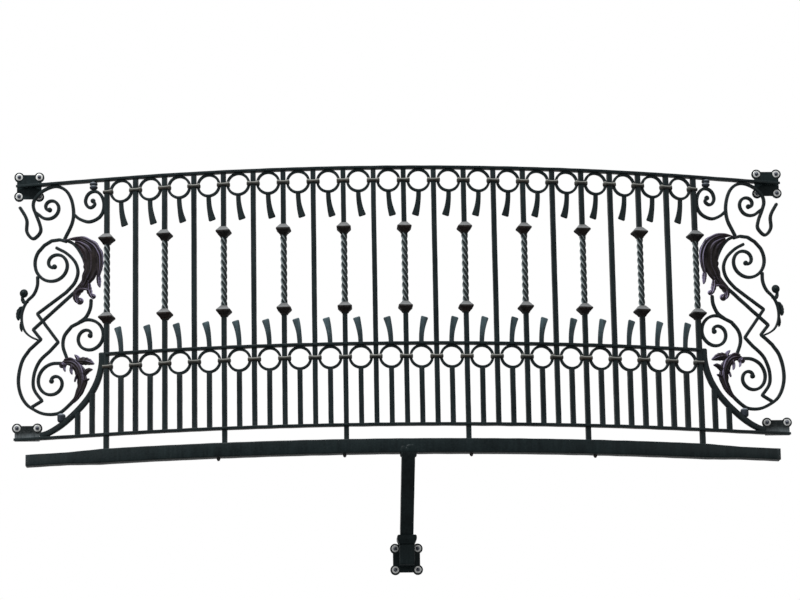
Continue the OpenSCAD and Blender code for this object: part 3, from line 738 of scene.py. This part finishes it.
lower_spiral_line = np.concatenate([on_panel([[44, 27.6], [50, 28.6]]),
                                    spiral([58, 21.3], 92, -330, 7.4, 0.9, 0.9)])
tendril_line = np.concatenate([smooth([[43, 30], [47.6, 35], [46.3, 39.2], [38.4, 42.8]]),
                               spiral([20, 38.2], 75, 505, 7, 0.9, 0.62)])
stem_line = smooth([[17, 53.2], [18, 49.5], [23, 46], [31, 44]])
sweep_line = smooth([[5, 31.6], [5.4, 26.9], [9.6, 20.8], [18.2, 15], [30.3, 9.9], [47.6, 4.6],
                     [62, 1.6], [72, 0.6]])
print("length of the outer bar:",
      round(float(np.linalg.norm(np.diff(outer_line, axis=0), axis=1).sum()), 3), "m")

# %% Scroll pieces
BRACE_W = 0.0215


def eyed(line):
    """A bar along a line that ends in an eye."""
    return [panel_bar(line), eye(line[-1])]


SCROLLS = {"crook_scrolls": [panel_bar(crook_line)],
           "crook_eyes": eyed(crook_eye_line),
           "post_scrolls": eyed(post_scroll_line),
           "snail_scrolls": eyed(snail_line),
           "inner_broken_bars": [panel_bar(inner_line, depth=SCROLL_D - 0.0015)],
           "outer_broken_bars": [panel_bar(outer_line)],
           "lower_spirals": eyed(lower_spiral_line),
           "tendril_scrolls": eyed(tendril_line) + [panel_bar(stem_line)],
           "sweep_braces": [panel_bar(sweep_line, BRACE_W, BAR)]}
for node, parts in SCROLLS.items():
    make_piece(node + "_bent", both_sides(joined(parts)), [node])

# %% [markdown]
# ## Leaves
# The leaves are forged from thick sheet: broad blades with folds along them, thin wavy edges, and tips that
# roll up into a tight curl. Sculpting would do it once, but a formula makes every blade. Across the blade,
# the front is a low dome with a midrib and a wave for the folds. Along it, the width swells and narrows by
# a power of a sine.

# %% Blade form
LEAF_T = 0.010
LEAF_SPACING = 0.003
FOLD_DEEPEST = 0.0030
FOLD_SHARE = 0.045


def swell(share, width, start):
    """Blade width along its line: the sine of the start angle up to 176 degrees, to the power 0.7."""
    return width * np.sin(np.radians(start + (176 - start) * share)) ** 0.7


def blade(marks, width, start=18, base=SCROLL_D / 2, thick=LEAF_T):
    """A sheet on the panel's outer face. Its front is a dome with a midrib, and its folds are a cosine
    across the blade that wanders and fades along it. Its back is flat and its edge is thin and wavy."""
    line = even(smooth(marks), LEAF_SPACING)
    share = np.linspace(0, 1, len(line))
    broad = width / 100 * PANEL_HIGH
    half = swell(share, broad, start) / 2 * (1 + 0.07 * np.sin(share * 11 * np.pi) * np.sin(share * np.pi))
    q = np.linspace(-1, 1, 33)
    dome = thick * 0.7 * (1 - np.abs(q) ** 2.6)
    rib = 0.0026 * np.exp(-(q / 0.13) ** 2)
    wander = 3 * np.pi * q[None] + 1.4 * np.sin(5 * share)[:, None]
    fade = (1 - q ** 2) * (0.6 + 0.4 * np.sin(9 * share))[:, None]
    folds = min(FOLD_DEEPEST, FOLD_SHARE * broad) * (np.cos(wander) * fade - 0.2)
    rise = ((dome + rib)[None] + folds) * (half / half.max())[:, None] ** 0.5
    curl_out = 0.005 * share[:, None] ** 4 + 0.002 * np.sin(share * 9)[:, None] * np.abs(q)[None]
    front = np.stack([half[:, None] * q, base + 0.0018 + np.maximum(rise + curl_out, 0)], -1)
    back_q = q[::-1][1:-1:4]
    back = np.stack([half[:, None] * back_q, base + 0 * half[:, None] * back_q], -1)
    return carried(line, np.concatenate([front, back], 1))


def curl(mark, radius, base=SCROLL_D / 2, rise=0.013):
    """A rolled tip seen from its end: a turned disc whose face rises by the root of one minus the radius
    squared, with a groove where the sheet's edge lies on the roll."""
    share = np.linspace(1, 0.05, 18)
    face = rise * np.sqrt(1 - 0.97 * share ** 2) - 0.003 * np.exp(-((share - 0.52) / 0.11) ** 2)
    out = np.concatenate([[base, base], base + face])
    share = np.concatenate([[0.05, 0.96], share])
    path = stood(0 * out[:, None] + on_panel(mark), out)
    outline = circles(radius / 100 * PANEL_HIGH * share, 28)
    return mapped(tube(path, [1, 0, 0], [0, 0, 1], outline), to_panel)


def lip(marks, radius, out):
    """A rolled edge: a round section along marks, its radius the root of a sine of the share, held off the
    panel."""
    line = even(smooth(marks), LEAF_SPACING)
    size = radius * np.sin(np.pi * np.linspace(0.03, 0.97, len(line))) ** 0.5
    return carried(line, circles(size, 12), out)


print("folds go in by", FOLD_DEEPEST, "m at most")

# %% Leaf marks
UPPER_BLADES = [
    ([[40, 77.6], [33, 77.4], [25.9, 76.9], [17.7, 75.3], [11.2, 73], [7.2, 69.7], [6.4, 66.3], [7.6, 63],
      [9.7, 60.6]], 3.4, 6),
    ([[34, 76.4], [27.8, 75.5], [21.3, 73.5], [17.2, 70.7], [15.8, 67.6], [16.4, 64.6], [19.3, 61.8],
      [22.4, 59.2], [26, 56.8]], 6.8, 8),
    ([[8.6, 63], [7.9, 60], [6.8, 57.3]], 2),
    ([[21.6, 60.8], [27, 57.8], [31.6, 55.8], [32.8, 53.4], [30.4, 51.6]], 3.3),
    ([[19.4, 60.4], [18.8, 57.2], [16.8, 54.8], [13.8, 52.9]], 2.3)]
UPPER_CURLS = [([28.4, 52.4], 1.45), ([13.8, 53.9], 1.0)]
UPPER_LIPS = [
    ([[34, 54.6], [31, 56.4], [25.4, 57], [19, 56.6]], 0.0055, 0.014),
    ([[46, 77], [38, 77.6], [30.6, 77.8], [21.5, 77], [13.4, 75.3], [8, 73], [4.8, 70.2], [3.8, 67],
      [4.4, 63.8]], 0.0052, 0.0125)]
LOWER_BLADES = [
    ([[47, 28.2], [42, 28.8], [35, 28], [30, 25.9], [26.6, 23], [25.6, 20.4], [27, 17.8], [31, 14.6],
      [36.6, 12.2]], 4.2),
    ([[30, 28], [30.4, 29.8], [33.8, 31.3]], 1.7),
    ([[34, 28], [28, 28.7], [20.7, 28.4], [12.5, 27.3]], 3.2),
    ([[28.6, 24], [23.6, 23.8], [19.2, 24.9], [14.3, 25.2]], 2.2),
    ([[26, 21.1], [21.6, 21], [17.7, 21.5]], 1.3),
    ([[43.5, 28.3], [45.4, 26.6], [44.3, 24.9]], 1.3),
    ([[36.6, 27.8], [37.8, 25.6], [36.8, 23.6]], 1.5),
    ([[29.4, 24], [32.2, 22.5], [33.6, 20.6]], 1.2)]
LOWER_CURLS = [([47.6, 27.7], 1.3)]
LOWER_LIPS = [
    ([[45.4, 29.8], [38, 30], [31.6, 28.6]], 0.004, 0.014),
    ([[38, 29.2], [32.6, 28.6], [28.6, 26.8], [26.3, 24.4], [25, 21.8], [24.8, 19.4]], 0.0052, 0.0135)]
TAIL_BUDS = [
    ([[86.4, 53.9], [90.4, 53.7], [93, 55], [92.8, 57.2]], 1.6),
    ([[91, 51.9], [95, 50.9], [96.9, 49.1], [97.4, 46.8]], 2.8),
    ([[93.4, 46.9], [94.6, 44.4], [93.4, 42.2]], 1.4)]
TAIL_CURL = ([92, 57.5], 1.7)
print("blades on each side:", len(UPPER_BLADES + LOWER_BLADES + TAIL_BUDS))

# %% Leaves
LEAVES = {"upper_leaves": (UPPER_BLADES, UPPER_CURLS, UPPER_LIPS),
          "lower_leaves": (LOWER_BLADES, LOWER_CURLS, LOWER_LIPS)}
for node, (blades, curls, lips) in LEAVES.items():
    parts = [blade(*each) for each in blades] + [curl(*each) for each in curls]
    parts += [lip(*each) for each in lips]
    make_piece(node + "_chased", both_sides(joined(parts)), [node], "leaf_iron", uneven=0.0006, crease=60)

# %% [markdown]
# ## Tail scrolls
# Half way up each panel a scroll runs out into a thin tail, with three buds and a small curl forged on its
# back. The bar could be drawn thinner by a taper curve. Here its width falls evenly along the line, and
# the buds are the leaves' blades, set into the bar's own depth.

# %% Tail scroll with its buds
tail_parts = [panel_bar(tail_line, tip=TAIL_TIP)]
tail_parts += [blade(*each, base=-0.005, thick=0.009) for each in TAIL_BUDS]
tail_parts += [curl(*TAIL_CURL, base=-0.009, rise=0.020)]
make_piece("tail_scrolls_bent", both_sides(joined(tail_parts)), ["tail_scrolls"])

# %% [markdown]
# ## Short side bars and knobs
# Two stubs stand between the bottom rail and the sweeping brace, and two round knobs hold the scrolls off
# their neighbours. Screw would turn a knob from a drawn outline. Here the radius is a curve of the height,
# with a groove round the middle of one of them, so both come from one function.

# %% Side bars
SIDE_BARS = [(15.4, 15.8), (31.2, 8.8)]


def side_bar(across, top):
    """A square bar on the panel, its foot pushed a little into the rail."""
    height = np.linspace(-SEAT, top / 100 * PANEL_HIGH, 8)
    return panel_bar(np.stack([0 * height + across / 100 * PANEL, height], -1), BAR, BAR, close=False)


make_piece("side_stubs", both_sides(joined([side_bar(*each) for each in SIDE_BARS])), ["side_bars"])

# %% Knobs
KNOB_R = 0.016
KNOBS = [([14.8, 98.4], 0.032, 0.28), ([49, 7.0], 0.036, 0)]


def knob(mark, height, groove):
    """A turned form about an upright axis: the radius is that of a barrel, pinched by a groove."""
    rise = np.linspace(-1, 1, 29)
    barrel = np.clip(1 - 0.88 * np.abs(rise) ** 5, 0.1, 1) ** 0.6
    pinch = 1 - groove * np.exp(-(rise / 0.14) ** 2)
    line = on_panel(mark) + (rise * height / 2)[:, None] * [0, 1]
    return mapped(tube(stood(line), [1, 0, 0], [0, 1, 0], circles(KNOB_R * barrel * pinch, 32)), to_panel)


make_piece("turned_knobs", both_sides(joined([knob(*each) for each in KNOBS])), ["scroll_knobs"],
           "rusty_iron")

# %% [markdown]
# ## Bolts and nuts
# The plates are held by domed nuts on pale washers, and four dark nuts hang under the beam, a little
# further apart than the posts. They could be cut from a cylinder with six planes. They are small and
# repeated, so each is a turned profile with few faces, and the flats come from the radius: the flat's
# distance divided by the cosine of the angle from its middle.

# %% Fasteners
def turned(profile, flats=0, sides=24):
    """A profile of heights and radii about the y axis, heads outward. With flats, each radius is times the
    cosine of half a flat's turn divided by the cosine of the angle from the flat's middle."""
    profile = np.asarray(profile, float)
    outline = circles(profile[:, 1], sides)
    if flats:
        angle = np.linspace(0, 2 * np.pi, sides + 1)[:-1]
        turn = 2 * np.pi / flats
        cut = np.cos(turn / 2) / np.cos((angle + turn / 2) % turn - turn / 2)
        outline = outline * cut[None, :, None]
    return tube(profile[:, :1] * [0, -1, 0], [1, 0, 0], [0, 0, 1], outline)


washer = turned([[0, 0.0130], [0.0012, 0.0138], [0.0024, 0.0136], [0.0028, 0.0128], [0.0026, 0.0090]])
nut = turned([[0.002, 0.0078], [0.0070, 0.0078], [0.0078, 0.0071]], 6)
dome = turned([[0.0075, 0.0062], [0.0094, 0.0058], [0.0116, 0.0047], [0.0131, 0.0031], [0.0138, 0.0012]])
domed_nut = joined([nut, dome])
print("points in a domed nut:", len(domed_nut[0]))

# %% Bolts on the plates
STRUT_PITCH_X, STRUT_PITCH_Z = 0.086, 0.082
PLATE_PITCH = 0.078
LOW_BOLT_UP = 0.041
LOBE_R = 0.0195
PLATE_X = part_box("top_plates")[1].x - LOBE_R - PLATE_PITCH / 2


def around(centre, across, up):
    """Places left and right of a centre, below and above it where it has a pitch upward."""
    ups = (-up / 2, up / 2) if up else (0,)
    return [np.add(centre, [x * across / 2, 0, z]) for x in (-1, 1) for z in ups]


places = around([0, -PLATE_T, 0], STRUT_PITCH_X, STRUT_PITCH_Z)
for side in (-1, 1):
    places += around([side * PLATE_X, PLATE_FACE, (TOP_LOW + TOP_TOP) / 2], PLATE_PITCH, PLATE_PITCH)
    places += around([side * PLATE_X, PLATE_FACE, BOTTOM_TOP + LOW_BOLT_UP], PLATE_PITCH, 0)
for name, part in (("washers", washer), ("domed_nuts", domed_nut)):
    copies = [mapped(part, lambda points, place=place: points + place) for place in places]
    make_piece(name, joined(copies), slot=None, uneven=0)

# %% Nuts under the beam
NUT_SPREAD = 1.035
nut_steps = [STEPS / 2 + NUT_SPREAD * (step - STEPS / 2) for step in MAIN[1:-1]]
hung = mapped(domed_nut, lambda points: points[:, [0, 2, 1]] + [0, 0, BEAM_LOW + SEAT])
make_piece("foot_nuts", on_steps(hung, nut_steps), slot="rusty_iron", uneven=0)

# %% [markdown]
# ## Writing shader maths
# A finish is a tree of nodes. Wiring it by hand hides what it computes, so one small class wraps a socket
# and lets Python's operators add the Math nodes. Any other node comes from one method.

# %% A socket with arithmetic
class Wire:
    """A socket of a node tree. An operation on wires or numbers adds the Math node that does it."""

    def __init__(self, tree, socket=None):
        self.tree = tree
        self.socket = socket

    def node(self, kind, settings=None, values=None, output=0):
        """Adds a node of a kind, sets its settings first, then fills its sockets with values or wires."""
        made = self.tree.nodes.new("ShaderNode" + kind)
        for name, value in (settings or {}).items():
            setattr(made, name, value)
        for name, value in (values or {}).items():
            if isinstance(value, Wire):
                self.tree.links.new(value.socket, made.inputs[name])
            else:
                made.inputs[name].default_value = value
        return Wire(self.tree, made.outputs[output])

    def maths(self, operation, *values, clamp=False):
        """A Math node on this wire and other values."""
        inputs = dict(enumerate((self,) + values))
        return self.node("Math", {"operation": operation, "use_clamp": clamp}, inputs)

    def __add__(self, other):
        return self.maths("ADD", other)

    def __sub__(self, other):
        return self.maths("SUBTRACT", other)

    def __mul__(self, other):
        return self.maths("MULTIPLY", other)

    __radd__ = __add__
    __rmul__ = __mul__

    def between(self, low, high):
        """0 below low, 1 above high and a straight slope between."""
        return ((self - low) * (1 / (high - low))).maths("ADD", 0.0, clamp=True)

    def along(self, axis):
        """One coordinate of a vector."""
        return self.node("SeparateXYZ", None, {"Vector": self}, axis)

    def noise(self, scale, detail, roughness):
        """Noise at this place."""
        return self.node("TexNoise", None, {"Vector": self, "Scale": scale, "Detail": detail,
                                            "Roughness": roughness})

    def mixed(self, first, second):
        """A colour between two colours, with this wire as the share."""
        return self.node("Mix", {"data_type": "RGBA"}, {0: self, 6: first, 7: second}, 2)


print("a wire can do:", ", ".join(word for word in vars(Wire) if not word.startswith("_")))

# %% [markdown]
# ## Finishes
# The iron has a satin near-black paint with a blue-green cast. Faces that look up take a pale colour that
# is partly dust and partly painted highlight from the sky, and the edges take it where the paint is worn
# thin and a painted highlight runs along the ridges. The knuckles are brown with rust. Their tops, the
# twists, the collars, the knobs and the leaves carry a stronger painted highlight, the leaves also on faces
# toward the middle of the railing. The standing tongues pale toward their tips, and a painted highlight
# band lies on the bottom plates' lower part. Textures could be painted by hand, but they would fit these
# sizes only. Here all finishes share one recipe with different colours and amounts, and every pattern is in
# object coordinates, so it lies still on the piece.

# %% The iron recipe
GRAIN = 0.0008
# scale, detail and roughness of each noise
CLOUDS = (9.0, 6.0, 0.62)
SPECKS = (160.0, 5.0, 0.7)
RUNS = (1.0, 4.0, 0.6)
RUN_STRETCH = (70.0, 70.0, 7.0)
DENT_SCALE = 70.0


def iron_finish(name, dark, light, rust, dust_and_sheen, rusting, dust_and_sheen_amount, rough=0.42, metal=0.0, gloss=0.08,
                tilt=(0.35, 0.95), climb=None, lean=0.0):
    """Two paint tones in broad clouds, rust in patches, and a pale colour where a face looks up between two
    tilts, partly dust and partly painted highlight from the sky. Edges are worn toward the same pale
    colour, which is thin paint with a painted highlight along the ridges. The normal holds a hammered and
    finely grained surface. With a lean, faces toward the middle of the railing get that painted highlight
    as well.
    With a climb, the paint pales from the first height to the second."""
    dark, light, rust, dust_and_sheen = ((*tone, 1.0) for tone in (dark, light, rust, dust_and_sheen))
    material = bpy.data.materials.new(name)
    material.use_nodes = True
    tree = material.node_tree
    place = Wire(tree).node("TexCoord", output=3)
    clouds = place.noise(*CLOUDS)
    specks = place.noise(*SPECKS)
    runs = place.node("Mapping", None, {"Vector": place, "Scale": RUN_STRETCH}).noise(*RUNS)
    tone = (clouds * 0.8 + runs * 0.7 - 0.3).between(0.25, 0.70)
    if climb:
        tone = tone * place.along(2).between(*climb)

    edge = place.node("NewGeometry", output=7).between(0.50, 0.62)
    patches = clouds * 0.9 + specks * 0.6 + edge * 0.18 - 0.62
    rusted = patches.between(0.42 - rusting, 0.52 - rusting * 0.6)
    browned = (rusted * 0.85).mixed(tone.mixed(dark, light), specks.between(0.3, 0.7).mixed(rust, light))

    facing = place.node("NewGeometry", output=1)
    upward = facing.along(2)
    # A lean adds a painted highlight on faces turned toward the middle of the railing.
    if lean:
        inward_sheen = facing.along(0) * place.along(0).maths("SIGN")
        upward = upward * (1 - lean) - inward_sheen * lean
    # The pale colour on faces that look up is partly dust and partly painted highlight from the sky.
    dust_and_sheen_share = upward.between(*tilt) * (0.4 + specks * 0.8) * dust_and_sheen_amount
    finish = dust_and_sheen_share.maths("MINIMUM", 1.0).mixed(browned, dust_and_sheen)
    # Convex edges are mixed toward the same pale colour: worn paint, and a painted highlight along the
    # ridges.
    worn = (edge * 0.45 * specks.between(0.35, 0.65)).mixed(finish, dust_and_sheen)

    roughness = rough + specks * 0.12 + rusted * 0.25 + dust_and_sheen_share * 0.2 + clouds * 0.1 - 0.12
    dents = place.node("TexVoronoi", {"feature": "SMOOTH_F1"},
                       {"Vector": place, "Scale": DENT_SCALE, "Smoothness": 0.8, "Randomness": 1.0})
    relief = dents * 0.55 + specks * 0.35 + rusted * specks * 0.5
    bump = place.node("Bump", None, {"Height": relief, "Strength": 0.5, "Distance": GRAIN})
    shader = tree.nodes["Principled BSDF"].inputs
    tree.links.new(worn.socket, shader["Base Color"])
    tree.links.new(roughness.socket, shader["Roughness"])
    tree.links.new(bump.socket, shader["Normal"])
    shader["Metallic"].default_value = metal
    shader["Specular IOR Level"].default_value = gloss
    return material


print("grain:", GRAIN, "m deep")

# %% The finishes
# dark and light paint, rust, a pale colour of dust and painted highlight, how much rust and how much of
# that pale colour, then what differs from the recipe
FINISHES = {
    # painted iron: the pale colour is dust with a faint painted highlight on faces that look up
    "painted iron": ((0.0011, 0.0032, 0.0038), (0.0066, 0.0120, 0.0130), (0.017, 0.010, 0.006),
                     (0.046, 0.058, 0.062), 0.12, 0.5, dict(gloss=0.07)),
    # twisted iron: the pale colour is a painted highlight on the twist's faces that tilt up toward the sky
    "twisted iron": ((0.0008, 0.0024, 0.0028), (0.0030, 0.0070, 0.0080), (0.014, 0.009, 0.006),
                     (0.210, 0.245, 0.250), 0.08, 2.2, dict(gloss=0.04, tilt=(0.03, 0.27))),
    # rusty iron: the rust is real, and the pale colour is a painted highlight on the knuckles' tops
    "rusty iron": ((0.0018, 0.0015, 0.0014), (0.0070, 0.0055, 0.0050), (0.018, 0.008, 0.005),
                   (0.175, 0.182, 0.185), 0.32, 1.1, dict(rough=0.5, gloss=0.03, tilt=(0.40, 0.80))),
    # leaf iron: the purple pale colour is a painted highlight on rims that face up and on faces toward the
    # middle
    "leaf iron": ((0.0030, 0.0026, 0.0027), (0.0200, 0.0165, 0.0160), (0.026, 0.010, 0.008),
                  (0.200, 0.180, 0.270), 0.22, 1.7,
                  dict(rough=0.4, gloss=0.04, tilt=(0.16, 0.66), lean=0.6)),
    # collar iron: the pale colour is a painted highlight on the collars' upper half
    "collar iron": ((0.0030, 0.0036, 0.0033), (0.0180, 0.0180, 0.0155), (0.034, 0.018, 0.010),
                    (0.175, 0.178, 0.165), 0.22, 1.5, dict(rough=0.5, gloss=0.04, tilt=(-0.05, 0.50))),
    # plate iron: its light tone is a painted highlight band on the bottom plates' lower part, above the
    # rail
    "plate iron": ((0.0012, 0.0032, 0.0040), (0.120, 0.140, 0.150), (0.017, 0.010, 0.008),
                   (0.160, 0.175, 0.170), 0.10, 0.9, dict(climb=(BOTTOM_TOP + 0.026, BOTTOM_TOP + 0.008))),
    "worn iron": ((0.0030, 0.0070, 0.0085), (0.058, 0.090, 0.102), (0.030, 0.022, 0.014),
                  (0.130, 0.160, 0.170), 0.12, 0.5, dict(rough=0.36, climb=(MID_TOP - 0.01, STAND_HIGH))),
    # knob iron: the pale colour is a painted highlight on the knobs' tops
    "knob iron": ((0.0040, 0.0060, 0.0090), (0.016, 0.021, 0.029), (0.022, 0.015, 0.012),
                  (0.220, 0.250, 0.280), 0.14, 1.0, dict(tilt=(0.10, 0.80))),
    "zinc": ((0.30, 0.31, 0.31), (0.50, 0.51, 0.50), (0.20, 0.14, 0.09),
             (0.52, 0.52, 0.51), 0.1, 0.2, dict(rough=0.36, metal=0.4, gloss=0.5)),
    "blued nut": ((0.010, 0.014, 0.026), (0.040, 0.048, 0.072), (0.050, 0.030, 0.020),
                  (0.15, 0.16, 0.18), 0.14, 0.3, dict(rough=0.32, metal=0.2, gloss=0.4))}
finishes = {name: iron_finish(name, *row[:-1], **row[-1]) for name, row in FINISHES.items()}
print("finishes:", ", ".join(finishes))

# %% Give every piece its finish
BY_NAME = {"washers": "zinc", "domed_nuts": "blued nut", "twists": "twisted iron",
           "turned_knobs": "knob iron", "bottom_plates_lobed": "plate iron",
           "lower_collar_row": "collar iron", "upper_collar_row": "collar iron"}
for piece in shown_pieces():
    by_slot = piece.get("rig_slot", "painted_iron").replace("_", " ")
    finish = finishes[BY_NAME.get(piece.name, by_slot)]
    piece.data.materials.clear()
    piece.data.materials.append(finish)
    print(piece.name, "takes", finish.name)

# %% [markdown]
# ## Floor, light and camera
# The railing is shown over a plain pale floor, in the even light of a bright grey day: a broad lamp above
# and in front, a weaker one from each side, and a pale world. The camera stands well back and low, looks
# up a little, and has a long lens.

# %% Floor
FLOOR_Z = -7.5
FLOOR_HALF = 60
corners = [(x * FLOOR_HALF, y * FLOOR_HALF, FLOOR_Z) for x, y in ((-1, -1), (1, -1), (1, 1), (-1, 1))]
floor_mesh = bpy.data.meshes.new("floor")
floor_mesh.from_pydata(corners, [], [(0, 1, 2, 3)])
floor = bpy.data.objects.new("floor", floor_mesh)
bpy.context.scene.collection.objects.link(floor)
floor_paint = bpy.data.materials.new("pale floor")
floor_paint.use_nodes = True
floor_inputs = floor_paint.node_tree.nodes["Principled BSDF"].inputs
floor_inputs["Base Color"].default_value = (0.8, 0.8, 0.8, 1.0)
floor_inputs["Roughness"].default_value = 0.9
floor_mesh.materials.append(floor_paint)
print("floor at", FLOOR_Z)

# %% World
AMBIENT = 0.40
world = bpy.data.worlds.new("pale day")
bpy.context.scene.world = world
world.use_nodes = True
rays = Wire(world.node_tree).node("LightPath").socket.node.outputs
seen, mirrored, through = (Wire(world.node_tree, rays[f"Is {kind} Ray"])
                           for kind in ("Camera", "Glossy", "Transmission"))
white = (seen + mirrored + through).maths("MINIMUM", 1.0)
background = world.node_tree.nodes["Background"].inputs
background["Color"].default_value = (1.0, 1.0, 1.0, 1.0)
world.node_tree.links.new((AMBIENT + white * (1 - AMBIENT)).socket, background["Strength"])
print("the world lights the iron at", AMBIENT, "and is white to the eye")


# %% Lamps
RAILING_MIDDLE = (0, 0, 0.9)


def lamp(name, place, size, power):
    """A square area lamp at a place, turned to the railing's middle."""
    light = bpy.data.lights.new(name, "AREA")
    light.energy = power
    light.size = size
    holder = bpy.data.objects.new(name, light)
    holder.location = place
    holder.rotation_euler = (Vector(RAILING_MIDDLE) - holder.location).to_track_quat("-Z", "Y").to_euler()
    bpy.context.scene.collection.objects.link(holder)
    print(name, "at", place, "with", power, "W")


lamp("high lamp", (-2.5, -4.5, 8.0), 1.6, 1150)
lamp("left lamp", (-6.0, -4.0, 2.0), 2.0, 120)
lamp("right lamp", (6.0, -5.0, 2.5), 2.0, 70)

# %% Camera
FOCAL_PIXELS = 3286.0
IMAGE_WIDTH = 800
YAW, PITCH_UP, ROLL = 0.05034, 0.22919, 0.01758
EYE_PLACE = (-0.6364, -12.4869, -1.8942)

camera_data = bpy.data.cameras.new("camera")
camera = bpy.data.objects.new("camera", camera_data)
bpy.context.scene.collection.objects.link(camera)
camera_data.sensor_width = 36.0
camera_data.lens = FOCAL_PIXELS * camera_data.sensor_width / IMAGE_WIDTH
ahead = np.array([np.sin(YAW) * np.cos(PITCH_UP), np.cos(YAW) * np.cos(PITCH_UP), np.sin(PITCH_UP)])
level = np.array([np.cos(YAW), -np.sin(YAW), 0.0])
above = np.cross(level, ahead)
right = level * np.cos(ROLL) - above * np.sin(ROLL)
upright_way = level * np.sin(ROLL) + above * np.cos(ROLL)
camera.matrix_world = Matrix([[*column] for column in np.stack([right, upright_way, -ahead, EYE_PLACE], 1)]
                             + [[0, 0, 0, 1]])
camera_data.clip_end = 200.0
bpy.context.scene.camera = camera
bpy.context.scene.view_settings.view_transform = "Standard"
print("lens:", round(camera_data.lens, 1), "mm on a sensor of", camera_data.sensor_width, "mm")
